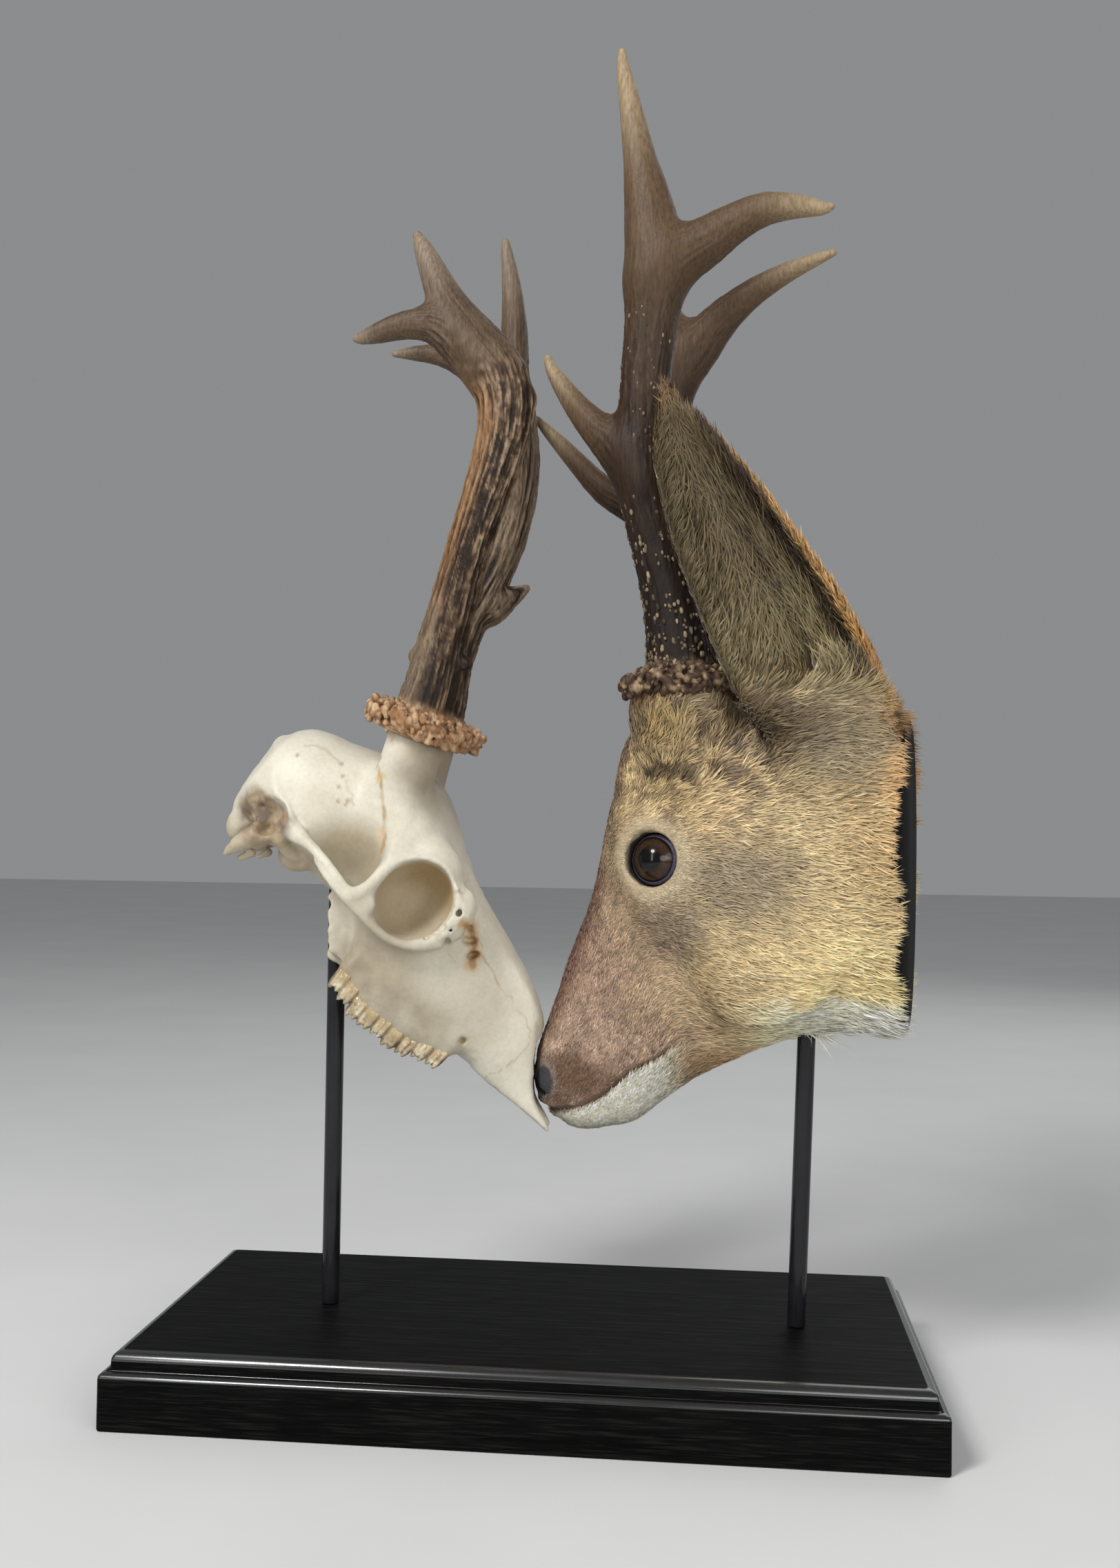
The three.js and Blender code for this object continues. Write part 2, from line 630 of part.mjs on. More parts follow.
const HEAD_ANTLERS = [
  {
    foot: [-49.5, -29, 303.5],
    beam: [
      [-49, -29, 300, 14.5],
      [-50, -30, 325, 13.6],
      [-53, -31.5, 345, 12],
      [-58, -33, 367, 11.4],
      [-63, -34.5, 388, 11.6],
      [-65, -36, 412, 11.4],
      [-64.5, -37, 438, 10.8],
      [-62, -38, 463, 11.4],
      [-60.5, -38.5, 486, 12.8],
      [-62.5, -38.5, 512, 11.4],
      [-67.5, -38, 538, 7.4],
      [-72.5, -37.5, 564, 4.8],
      [-76, -37, 582, 2.6],
      [-76.8, -37, 590, 1.2],
    ],
    back: [
      [-60, -38, 484, 11],
      [-50, -38.5, 493, 13],
      [-38, -39, 499, 11],
      [-25, -39.5, 506, 8.4],
      [-12, -40, 510.5, 6.8],
      [2, -40, 510, 4.8],
      [11, -39.5, 508.5, 3],
      [16, -39.5, 509, 1.2],
    ],
    front: [
      [-65, -34.5, 398, 10],
      [-76, -34.5, 412, 11],
      [-86, -34, 422, 8],
      [-95, -33.5, 432, 5.8],
      [-103, -33, 443, 4.2],
      [-108, -32.5, 451, 2.8],
      [-110.5, -32, 457.5, 1.2],
    ],
  },
  {
    foot: [-49.5, 29, 303.5],
    beam: [
      [-49, 29, 300, 14],
      [-51, 30, 322, 13],
      [-55, 31.5, 342, 11.8],
      [-62, 33, 364, 11.2],
      [-68, 34.5, 386, 11.4],
      [-71, 36, 410, 11.2],
      [-70.5, 36.5, 436, 11],
      [-68.5, 37, 460, 11.4],
      [-69, 37, 480, 11],
      [-73, 36.5, 500, 8],
      [-77, 36, 520, 5.4],
      [-80, 35.5, 536, 3],
      [-81, 35.5, 542, 1.2],
    ],
    back: [
      [-68, 37, 464, 10],
      [-59, 37, 474, 12],
      [-51, 37, 484, 10.4],
      [-41, 37, 494, 8.2],
      [-28, 37, 503.5, 6.4],
      [-12, 37, 511.5, 4.6],
      [2, 37, 516.5, 2.8],
      [10, 37, 519, 1.2],
    ],
    front: [
      [-72, 34.5, 394, 9],
      [-86, 33, 402.5, 8.4],
      [-99, 32, 410, 6.6],
      [-111, 31, 422.5, 5.2],
      [-121, 30.5, 433.5, 4],
      [-129, 30, 442, 2.6],
      [-134, 30, 447.5, 1.2],
    ],
  },
];

function stuffedHead(group) {
  const coronetSize = { radius: 25.5, height: 12 };
  const antlers = HEAD_ANTLERS.map(({ foot, beam, back, front }) =>
    join(
      tube(beam, 6, 12),
      tube(back, 5, 5),
      tube(front, 5, 5),
      coronet(new THREE.Vector3(...foot), footOf(beam).axis, coronetSize),
    ),
  );
  const pairs = bothSides((side) => [
    ear(side),
    tube([[-42, side * 18, 262, 21.5], [-49, side * 25, 286, 23], [-50.5, side * 28, 307, 22]], 8, 2), // pedicle
    ellipsoid([-58.5, side * 31, 234.5], [14, 8.5, 14.5]), // eye and lids
    ellipsoid([10, side * 26, 281], [27, 19, 25]), // root of the ear
  ]);
  const nose = ellipsoid([-112.5, 0, 133.5], [8.5, 12.5, 10]);
  const neckEnd = block([-200, -120, 90], [HEAD.neckCut, 120, 640]);
  return join(headHull(), antlers, pairs.flat(), nose).intersect(neckEnd).subtract(holeFor(HEAD_ROD, group));
}

// ---- Materials and assembly ----------------------------------------------------------------------------

const finish = (colour, roughness, metalness = 0) =>
  new THREE.MeshStandardMaterial({ color: new THREE.Color(...colour), roughness, metalness });
const BONE = finish([0.82, 0.78, 0.66], 0.6);
const ANTLER = finish([0.25, 0.17, 0.11], 0.65);
const COAT = finish([0.5, 0.38, 0.22], 0.9);
const EBONISED = finish([0.02, 0.02, 0.02], 0.45);
const ROD_STEEL = finish([0.03, 0.03, 0.035], 0.25, 0.8);

function groupAt([x, y, z], turnY, turnZ) {
  const group = new THREE.Group();
  group.position.set(x, y, z);
  group.rotation.set(0, turnY, turnZ, "ZYX");
  group.updateMatrixWorld();
  return group;
}

const mount = new THREE.Group();
mount.add(named("stand_base", plinth(), EBONISED));
mount.add(named("stand_rod_skull", solid(rodShape(SKULL_ROD)), ROD_STEEL));
mount.add(named("stand_rod_head", solid(rodShape(HEAD_ROD)), ROD_STEEL));

const skull = groupAt(SKULL.tip, SKULL.noseDown, SKULL.yaw);
skull.add(...skullParts(skull));
mount.add(skull);
mount.add(...antlerParts("antler_right", RIGHT_ANTLER), ...antlerParts("antler_left", LEFT_ANTLER));

const head = groupAt([HEAD.x, HEAD.y, 0], 0, HEAD.yaw);
head.add(named("deer_head", stuffedHead(head), COAT));
mount.add(head);

export default mount;
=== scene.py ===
"""Looks of the roe deer study mount: a bare skull and a stuffed head, nose to nose over a black plinth.

Shapes are made in millimetres. Bone, antler and skin are distance fields, joined smoothly and meshed with OpenVDB.
"""

import math

import bpy
import numpy as np
import openvdb
from mathutils import Matrix


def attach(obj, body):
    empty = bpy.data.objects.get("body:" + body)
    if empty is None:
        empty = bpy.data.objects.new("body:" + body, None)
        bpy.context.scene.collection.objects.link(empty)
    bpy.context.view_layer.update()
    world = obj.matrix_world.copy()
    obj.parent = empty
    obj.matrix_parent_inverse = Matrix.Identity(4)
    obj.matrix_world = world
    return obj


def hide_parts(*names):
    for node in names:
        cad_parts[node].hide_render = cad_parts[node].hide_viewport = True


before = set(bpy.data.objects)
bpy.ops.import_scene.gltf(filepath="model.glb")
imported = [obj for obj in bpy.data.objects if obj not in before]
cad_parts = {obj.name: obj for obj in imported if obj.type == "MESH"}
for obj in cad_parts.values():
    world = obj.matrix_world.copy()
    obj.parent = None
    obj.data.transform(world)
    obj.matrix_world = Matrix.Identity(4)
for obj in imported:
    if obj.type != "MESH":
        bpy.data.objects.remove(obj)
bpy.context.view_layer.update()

MM = 0.001
BLOCK = 8  # voxels along the side of a block of a distance field
FAR = 40.0


# ---- Numbers along tables ---------------------------------------------------------------------------------


def smooth_table(rows, step):
    """Fine samples of a table whose first column rises, through all of its rows."""
    rows = np.array(rows, float)
    at, values = rows[:, 0], rows[:, 1:]
    fine = np.append(np.arange(at[0], at[-1], step), at[-1])
    slope = np.gradient(values, at, axis=0)
    row = np.clip(np.searchsorted(at, fine, side="right") - 1, 0, len(at) - 2)
    length = (at[row + 1] - at[row])[:, None]
    t = (fine - at[row])[:, None] / length
    a, b = values[row], values[row + 1]
    da, db = slope[row] * length, slope[row + 1] * length
    cubic = (2 * t**3 - 3 * t**2 + 1) * a + (t**3 - 2 * t**2 + t) * da
    return fine, cubic + (3 * t**2 - 2 * t**3) * b + (t**3 - t**2) * db


def polyline(rows, fine):
    """A smooth curve through [x, y, z, radius] rows, with `fine` pieces between two rows."""
    numbered = [[i, *row] for i, row in enumerate(rows)]
    return smooth_table(numbered, 1 / fine)[1]


def smooth_step(low, high, value):
    t = np.clip((value - low) / (high - low), 0, 1)
    return t * t * (3 - 2 * t)


def mix(a, b, t):
    """From colour or number a to b; t has one value per point."""
    a, b, t = np.asarray(a, float), np.asarray(b, float), np.asarray(t, float)
    return a + (b - a) * (t[:, None] if max(a.ndim, b.ndim) > 0 and max(a.shape + b.shape) in (3,) else t)


def tint(colours, other, t):
    """Each row of colours turned towards the colour `other` by its own share t."""
    return colours + (np.asarray(other, float) - colours) * np.asarray(t)[:, None]


def noise(points, size, seed=0):
    """Smooth value noise between -1 and 1 over points, with cells of the given size."""
    q = np.asarray(points, float) / size
    cell = np.floor(q).astype(np.int64)
    t = q - cell
    t = t * t * (3 - 2 * t)
    total = np.zeros(len(q))
    for corner in range(8):
        step = np.array([corner & 1, corner >> 1 & 1, corner >> 2 & 1])
        i = cell + step
        mixed = i[:, 0] * 374761393 + i[:, 1] * 668265263 + i[:, 2] * 1442695041 + seed * 974634777
        mixed = (mixed ^ (mixed >> 13)) * 1274126177
        value = ((mixed ^ (mixed >> 16)) & 0xFFFF) / 32767.5 - 1
        weight = np.prod(np.where(step, t, 1 - t), axis=1)
        total += value * weight
    return total


def layered(points, size, seed=0, layers=3):
    return sum(noise(points, size / 2**i, seed + i) * 0.5**i for i in range(layers)) / (2 - 0.5 ** (layers - 1))


# ---- Distance fields ----------------------------------------------------------------------------------------


def ball(centre, radii, turn=0.0):
    """An ellipsoid, turned about the y axis by `turn` radians."""
    c, r = centre, radii
    cos, sin = math.cos(turn), math.sin(turn)

    def shape(x, y, z):
        dx, dz = x - c[0], z - c[2]
        u, v, w = (dx * cos - dz * sin) / r[0], (y - c[1]) / r[1], (dx * sin + dz * cos) / r[2]
        k0 = np.sqrt(u * u + v * v + w * w) + 1e-6
        k1 = np.sqrt((u / r[0]) ** 2 + (v / r[1]) ** 2 + (w / r[2]) ** 2) + 1e-6
        return k0 * (k0 - 1) / k1

    return shape


def chain(rows, fine=3):
    """A round tube along a smooth curve through [x, y, z, radius] rows."""
    line = polyline(rows, fine)

    def shape(x, y, z):
        best = None
        for a, b in zip(line[:-1], line[1:]):
            along = b[:3] - a[:3]
            square = max(along @ along, 1e-9)
            px, py, pz = x - a[0], y - a[1], z - a[2]
            t = np.clip((px * along[0] + py * along[1] + pz * along[2]) / square, 0, 1)
            dx, dy, dz = px - t * along[0], py - t * along[1], pz - t * along[2]
            d = np.sqrt(dx * dx + dy * dy + dz * dz) - (a[3] + t * (b[3] - a[3]))
            best = d if best is None else np.minimum(best, d)
        return best

    return shape


def sections(rows, offset=0.0, ends=0.35):
    """A hull along x, of [x, middle z, half width, rise, fall, squareness above, squareness below] rows."""
    at, values = smooth_table(rows, 0.5)

    def shape(x, y, z):
        inside = np.clip(x, at[0], at[-1])
        middle, wide, rise, fall, top, bottom = (np.interp(inside, at, column) for column in values.T)
        up = z - middle
        high = np.where(up > 0, rise, fall)
        power = np.where(up > 0, top, bottom)
        u, v = np.abs(y - offset) / wide + 1e-5, np.abs(up) / high + 1e-5
        r = (u**power + v**power) ** (1 / power)
        steep = r ** (1 - power) * np.sqrt((u ** (power - 1) / wide) ** 2 + (v ** (power - 1) / high) ** 2)
        across = (r - 1) / steep
        beyond = np.abs(x - inside)
        capped = np.maximum(across, np.maximum(at[0] - x, x - at[-1]))
        return np.where(beyond > 0, np.sqrt(np.maximum(across, 0) ** 2 + beyond**2), capped)

    return shape


def slab(point, normal, half):
    """A layer of the given half thickness about the plane through a point."""
    n = np.array(normal, float) / np.linalg.norm(normal)

    def shape(x, y, z):
        return np.abs((x - point[0]) * n[0] + (y - point[1]) * n[1] + (z - point[2]) * n[2]) - half

    return shape


def cone(foot, axis, profile):
    """A turned body about an axis, from [height, radius] rows; beyond the ends it is cut flat."""
    n = np.array(axis, float) / np.linalg.norm(axis)
    heights, radii = np.array(profile, float).T

    def shape(x, y, z):
        px, py, pz = x - foot[0], y - foot[1], z - foot[2]
        h = px * n[0] + py * n[1] + pz * n[2]
        r = np.sqrt(np.maximum((px - h * n[0]) ** 2 + (py - h * n[1]) ** 2 + (pz - h * n[2]) ** 2, 0))
        side = r - np.interp(h, heights, radii)
        return np.maximum(side, np.maximum(heights[0] - h, h - heights[-1]))

    return shape


def ring(centre, axis, radii, thick, wave=None):
    """A rounded ring about an axis; radii may differ along x and z, and `thick` and `wave` may go by the angle."""
    n = np.array(axis, float) / np.linalg.norm(axis)

    def shape(x, y, z):
        px, py, pz = x - centre[0], y - centre[1], z - centre[2]
        h = px * n[0] + py * n[1] + pz * n[2]
        qx, qy, qz = px - h * n[0], py - h * n[1], pz - h * n[2]
        angle = np.arctan2(qz / radii[1], qx / radii[0])
        r = np.sqrt(qx * qx + qy * qy + qz * qz) + 1e-6
        target = 1 / np.sqrt((np.cos(angle) / radii[0]) ** 2 + (np.sin(angle) / radii[1]) ** 2)
        lift = 0 if wave is None else wave(angle)
        return np.sqrt((r - target) ** 2 + (h - lift) ** 2) - (thick(angle) if callable(thick) else thick)

    return shape


def joined(kind, a, b, blend):
    """Union (1) or cut (-1) of two fields, rounded over `blend` millimetres."""
    if kind < 0:
        return -joined(1, -a, b, blend)
    low = np.minimum(a, b)
    if blend <= 0:
        return low
    h = np.maximum(blend - np.abs(a - b), 0) / blend
    return low - h * h * blend / 4


def surface(steps, low, high, voxel):
    """Vertices and quads of the surface that (kind, shape, blend) steps leave, found in blocks near it."""
    low = np.array(low, float)
    size = BLOCK * voxel
    count = np.ceil((np.array(high) - low) / size).astype(int)
    index = np.stack(np.meshgrid(*[np.arange(n) for n in count], indexing="ij"), -1).reshape(-1, 3)
    centre = (low + (index * BLOCK + (BLOCK - 1) / 2) * voxel).astype(np.float32)
    reach = size * 0.87 * 1.35 + 1.0
    field = np.full(len(index), FAR, np.float32)
    away = []
    for kind, shape, blend in steps:
        d = shape(*centre.T).astype(np.float32)
        away.append(d)
        field = joined(kind, field, d, blend)
    live = np.abs(field) < reach
    grid = np.arange(BLOCK) * voxel
    cube = np.stack(np.meshgrid(grid, grid, grid, indexing="ij"), -1).reshape(-1, 3)
    corner = low + index[live] * size
    places = (corner[:, None, :] + cube[None]).astype(np.float32)
    fine = np.full(places.shape[:2], FAR, np.float32)
    for (kind, shape, blend), d in zip(steps, away):
        near = d[live] < reach + blend
        if near.any():
            value = shape(places[near, :, 0], places[near, :, 1], places[near, :, 2])
            fine[near] = joined(kind, fine[near], value.astype(np.float32), blend)
    whole = np.where(field > 0, FAR, -FAR).astype(np.float32).reshape(count)
    for axis in range(3):
        whole = whole.repeat(BLOCK, axis)
    split = whole.reshape(count[0], BLOCK, count[1], BLOCK, count[2], BLOCK)
    i, j, k = index[live].T
    split[i, :, j, :, k, :] = fine.reshape(-1, BLOCK, BLOCK, BLOCK)
    grid = openvdb.FloatGrid()
    grid.background = FAR
    grid.copyFromArray(np.ascontiguousarray(split.reshape(whole.shape)))
    points, quads = grid.convertToQuads(isovalue=0.0)
    return points * voxel + low, quads


# ---- Meshes --------------------------------------------------------------------------------------------------


def normals_of(points, faces):
    corner = points[faces]
    if faces.shape[1] == 4:
        flat = np.cross(corner[:, 2] - corner[:, 0], corner[:, 3] - corner[:, 1])
    else:
        flat = np.cross(corner[:, 1] - corner[:, 0], corner[:, 2] - corner[:, 0])
    total = np.zeros_like(points)
    for k in range(faces.shape[1]):
        for axis in range(3):
            total[:, axis] += np.bincount(faces[:, k], flat[:, axis], len(points))
    return total / (np.linalg.norm(total, axis=1)[:, None] + 1e-12)


def outward(points, faces):
    """The faces, turned so that they look out of the body."""
    a, b, c = (points[faces[:, k]] for k in range(3))
    return faces if np.einsum("ij,ij->", a, np.cross(b, c)) > 0 else faces[:, ::-1]


def relaxed(points, faces, rounds, share=0.5):
    """Points moved towards their neighbours' middle, to take the voxels' steps off."""
    edges = np.concatenate([faces[:, [k, (k + 1) % faces.shape[1]]] for k in range(faces.shape[1])])
    degree = np.bincount(edges[:, 0], minlength=len(points)) + np.bincount(edges[:, 1], minlength=len(points))
    for _ in range(rounds):
        total = np.stack(
            [
                np.bincount(edges[:, 0], points[edges[:, 1], axis], len(points))
                + np.bincount(edges[:, 1], points[edges[:, 0], axis], len(points))
                for axis in range(3)
            ],
            1,
        )
        points = points + (total / degree[:, None] - points) * share
    return points


def mesh_object(name, points, faces, material, colours=None, smooth=True):
    """A mesh piece from millimetre points, riding on the root body."""
    faces = np.ascontiguousarray(faces)
    mesh = bpy.data.meshes.new(name)
    mesh.vertices.add(len(points))
    mesh.vertices.foreach_set("co", (np.asarray(points) * MM).astype(np.float32).ravel())
    mesh.loops.add(faces.size)
    mesh.loops.foreach_set("vertex_index", faces.astype(np.int32).ravel())
    mesh.polygons.add(len(faces))
    mesh.polygons.foreach_set("loop_start", np.arange(0, faces.size, faces.shape[1], dtype=np.int32))
    mesh.polygons.foreach_set("use_smooth", np.full(len(faces), smooth))
    mesh.update(calc_edges=True)
    if colours is not None:
        layer = mesh.color_attributes.new("shade", "FLOAT_COLOR", "POINT")
        filled = np.ones((len(points), 4), np.float32)
        filled[:, :3] = np.clip(colours, 0, 1)
        layer.data.foreach_set("color", filled.ravel())
    mesh.materials.append(material)
    piece = bpy.data.objects.new(name, mesh)
    bpy.context.scene.collection.objects.link(piece)
    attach(piece, "root")
    return piece


class Finish:
    """A material with a Principled shader and short calls for its nodes."""

    def __init__(self, name, **values):
        self.made = bpy.data.materials.new(name)
        self.made.use_nodes = True
        self.tree = self.made.node_tree
        self.shader = self.tree.nodes["Principled BSDF"]
        for socket, value in values.items():
            self.shader.inputs[socket.replace("_", " ")].default_value = value
        self.place = self.node("ShaderNodeTexCoord").outputs["Object"]

    def node(self, kind, inputs=None, **settings):
        made = self.tree.nodes.new(kind)
        for name, value in settings.items():
            setattr(made, name, value)
        for socket, value in (inputs or {}).items():
            if isinstance(value, bpy.types.NodeSocket):
                self.tree.links.new(value, made.inputs[socket])
            else:
                made.inputs[socket].default_value = value
        return made

    def link(self, value, socket):
        self.tree.links.new(value, self.shader.inputs[socket])

    def stretched(self, scale):
        return self.node("ShaderNodeMapping", {"Vector": self.place, "Scale": scale}).outputs["Vector"]

    def cloud(self, scale, detail=4.0, rough=0.55, vector=None, warp=0.0):
        inputs = {"Vector": vector or self.place, "Scale": scale, "Detail": detail, "Roughness": rough}
        inputs["Distortion"] = warp
        return self.node("ShaderNodeTexNoise", inputs).outputs["Fac"]

    def ramp(self, value, *stops):
        made = self.node("ShaderNodeValToRGB", {"Fac": value})
        band = made.color_ramp
        while len(band.elements) < len(stops):
            band.elements.new(0.5)
        for element, (position, colour) in zip(band.elements, stops):
            element.position = position
            element.color = (*colour, 1) if isinstance(colour, tuple) else (colour, colour, colour, 1)
        return made.outputs["Color"]

    def blended(self, kind, share, a, b):
        made = self.node("ShaderNodeMix", data_type="RGBA", blend_type=kind)
        for socket, value in ((0, share), (6, a), (7, b)):
            if isinstance(value, bpy.types.NodeSocket):
                self.tree.links.new(value, made.inputs[socket])
            elif isinstance(value, tuple):
                made.inputs[socket].default_value = (*value, 1)
            else:
                made.inputs[socket].default_value = value
        return made.outputs[2]

    def painted(self):
        return self.node("ShaderNodeAttribute", attribute_name="shade").outputs["Color"]

    def bump(self, height, strength, distance, below=None):
        inputs = {"Height": height, "Strength": strength, "Distance": distance}
        if below is not None:
            inputs["Normal"] = below
        return self.node("ShaderNodeBump", inputs).outputs["Normal"]


# ---- Camera, light and floor ----------------------------------------------------------------------------------

CAMERA_AT = (75, -684, 245)
CAMERA_TURN, CAMERA_TILT, CAMERA_ROLL = (math.radians(a) for a in (5.65, -1.84, 0.78))
PHOTO_HEIGHT = 2274
FOCAL_PIXELS = 2200


def add_camera():
    data = bpy.data.cameras.new("camera")
    data.sensor_width = 36
    data.lens = FOCAL_PIXELS * data.sensor_width / PHOTO_HEIGHT
    camera = bpy.data.objects.new("camera", data)
    bpy.context.scene.collection.objects.link(camera)
    forward = np.array([-math.sin(CAMERA_TURN), math.cos(CAMERA_TURN), 0])
    right = np.array([math.cos(CAMERA_TURN), math.sin(CAMERA_TURN), 0])
    up = np.array([0, 0, 1.0])
    ahead = forward * math.cos(CAMERA_TILT) - up * math.sin(CAMERA_TILT)
    up = up * math.cos(CAMERA_TILT) + forward * math.sin(CAMERA_TILT)
    across = right * math.cos(CAMERA_ROLL) + up * math.sin(CAMERA_ROLL)
    up = up * math.cos(CAMERA_ROLL) - right * math.sin(CAMERA_ROLL)
    turned = np.eye(4)
    turned[:3, 0], turned[:3, 1], turned[:3, 2] = across, up, -ahead
    turned[:3, 3] = np.array(CAMERA_AT) * MM
    camera.matrix_world = Matrix(turned.tolist())
    bpy.context.scene.camera = camera


def add_light(name, place, aim, size, power, height=None):
    data = bpy.data.lights.new(name, "AREA")
    data.shape = "DISK" if height is None else "RECTANGLE"
    data.size = size
    if height is not None:
        data.size_y = height
    data.energy = power
    light = bpy.data.objects.new(name, data)
    bpy.context.scene.collection.objects.link(light)
    back = np.array(place, float) - np.array(aim, float)
    z = back / np.linalg.norm(back)
    x = np.cross((0, 0, 1), z)
    x /= np.linalg.norm(x)
    turned = np.eye(4)
    turned[:3, 0], turned[:3, 1], turned[:3, 2], turned[:3, 3] = x, np.cross(z, x), z, place
    light.matrix_world = Matrix(turned.tolist())
    light.visible_camera = False


def add_studio():
    middle = (0, 0, 0.3)
    add_light("key", (-0.75, -1.15, 1.45), middle, 0.55, 24)
    add_light("fill", (1.3, -1.2, 0.75), middle, 1.2, 7.5)
    add_light("rim", (0.7, 1.2, 1.2), middle, 1.4, 5)
    add_light("strip", (-0.62, -0.95, 0.62), (0, 0, 0.25), 0.12, 2.0, height=0.8)
    add_light("low_fill", (0.45, -1.05, 0.42), (0.06, 0, 0.22), 0.5, 2.4)
    world = bpy.data.worlds.new("studio")
    world.use_nodes = True
    world.node_tree.nodes["Background"].inputs["Color"].default_value = (0.86, 0.88, 0.9, 1)
    world.node_tree.nodes["Background"].inputs["Strength"].default_value = 0.30
    bpy.context.scene.world = world
    bpy.context.scene.view_settings.view_transform = "Standard"
    floor_finish = Finish("floor", Roughness=0.85)
    soft = floor_finish.cloud(6.0)
    floor_finish.link(floor_finish.ramp(soft, (0.3, (0.66, 0.66, 0.655)), (0.7, (0.70, 0.70, 0.69))), "Base Color")
    mesh = bpy.data.meshes.new("floor")
    reach = 6.0
    mesh.from_pydata([(-reach, -reach, 0), (reach, -reach, 0), (reach, reach, 0), (-reach, reach, 0)], [], [(0, 1, 2, 3)])
    mesh.materials.append(floor_finish.made)
    floor = bpy.data.objects.new("floor", mesh)
    bpy.context.scene.collection.objects.link(floor)


# ---- Plinth and rods ------------------------------------------------------------------------------------------

BASE_SIZE = (340, 166, 31)
BASE_CORNER = 1.4


def ebonised_wood():
    finish = Finish("ebonised_wood", Roughness=0.5, Specular_IOR_Level=0.05)
    grain = finish.cloud(1.0, 5.0, 0.6, finish.stretched((14, 420, 420)), 0.3)
    pores = finish.cloud(1.0, 2.0, 0.5, finish.stretched((60, 1500, 1500)))
    broad = finish.cloud(1.0, 3.0, 0.5, finish.stretched((7, 60, 60)), 0.6)
    base = finish.ramp(broad, (0.3, (0.0008, 0.0008, 0.0009)), (0.72, (0.0020, 0.0020, 0.0020)))
    dull = finish.ramp(pores, (0.5, 0.0), (0.72, 1.0))
    streak = finish.ramp(grain, (0.42, 0.0), (0.66, 1.0))
    coloured = finish.blended("MIX", streak, base, (0.0036, 0.0035, 0.0034))
    finish.link(finish.blended("MIX", dull, coloured, (0.010, 0.0098, 0.009)), "Base Color")
    finish.link(finish.ramp(grain, (0.35, 0.42), (0.7, 0.62)), "Roughness")
    deep = finish.bump(grain, 0.35, 0.0006)
    finish.link(finish.bump(pores, 0.3, 0.0003, deep), "Normal")
    return finish.made


def bead_lacquer():
    finish = Finish("bead_lacquer", Roughness=0.3, Coat_Weight=1.0, Coat_Roughness=0.14)
    worn = finish.cloud(1.0, 4.0, 0.6, finish.stretched((30, 300, 300)))
    finish.link(finish.ramp(worn, (0.3, (0.004, 0.004, 0.0045)), (0.75, (0.012, 0.0115, 0.011))), "Base Color")
    finish.link(finish.ramp(worn, (0.3, 0.22), (0.75, 0.36)), "Roughness")
    finish.link(finish.bump(worn, 0.15, 0.0003), "Normal")
    return finish.made


def rod_paint():
    finish = Finish("rod_paint", Roughness=0.2, Specular_IOR_Level=0.2, Coat_Weight=0.2, Coat_Roughness=0.05)
    finish.shader.inputs["Base Color"].default_value = (0.010, 0.010, 0.012, 1)
    haze = finish.cloud(90.0, 4.0)
    finish.link(finish.ramp(haze, (0.3, 0.12), (0.75, 0.26)), "Roughness")
    finish.link(finish.ramp(haze, (0.3, (0.008, 0.008, 0.010)), (0.8, (0.016, 0.016, 0.018))), "Base Color")
    return finish.made


def lofted(name, loops, material, cap=True, smooth=True):
    """A closed body over equal loops of points, first and last loop filled."""
    loops = [np.asarray(loop, float) for loop in loops]
    count = len(loops[0])
    points = np.concatenate(loops)
    start = np.arange(len(loops) - 1)[:, None] * count
    i = np.arange(count)[None]
    j = (i + 1) % count
    faces = np.stack([start + i, start + j, start + count + j, start + count + i], -1).reshape(-1, 4)
    piece_faces = [list(map(int, face)) for face in faces]
    if cap:
        piece_faces += [list(range(count))[::-1], list(range(len(points) - count, len(points)))]
    mesh = bpy.data.meshes.new(name)
    mesh.from_pydata((points * MM).tolist(), [], piece_faces)
    mesh.polygons.foreach_set("use_smooth", np.full(len(piece_faces), smooth))
    mesh.materials.append(material)
    piece = bpy.data.objects.new(name, mesh)
    bpy.context.scene.collection.objects.link(piece)
    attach(piece, "root")
    return piece


def plinth_edge():
    """Points [inset, height] up the plinth's moulded side: a plain face and two rounded beads."""

    def bead(inset, height, across, rise, parts=9):
        angles = np.linspace(0, math.pi / 2, parts)
        return [(inset + across * (1 - math.cos(a)), height + rise * math.sin(a)) for a in angles]

    foot = [(0.9, 0), (0.25, 0.25), (0, 0.9)]
    lower = [(0, 19.4), (0, 20.8), *bead(0, 21.3, 3.2, 2.2)]
    neck = [(3.6, 23.3), (3.8, 23.6), (3.9, 24.2)]
    upper = [(4, 26.6), *bead(4, 27.2, 3.6, 3.5), (7.8, 30.75), (8.0, 30.98), (8.6, 31)]
    return foot + lower + neck + upper


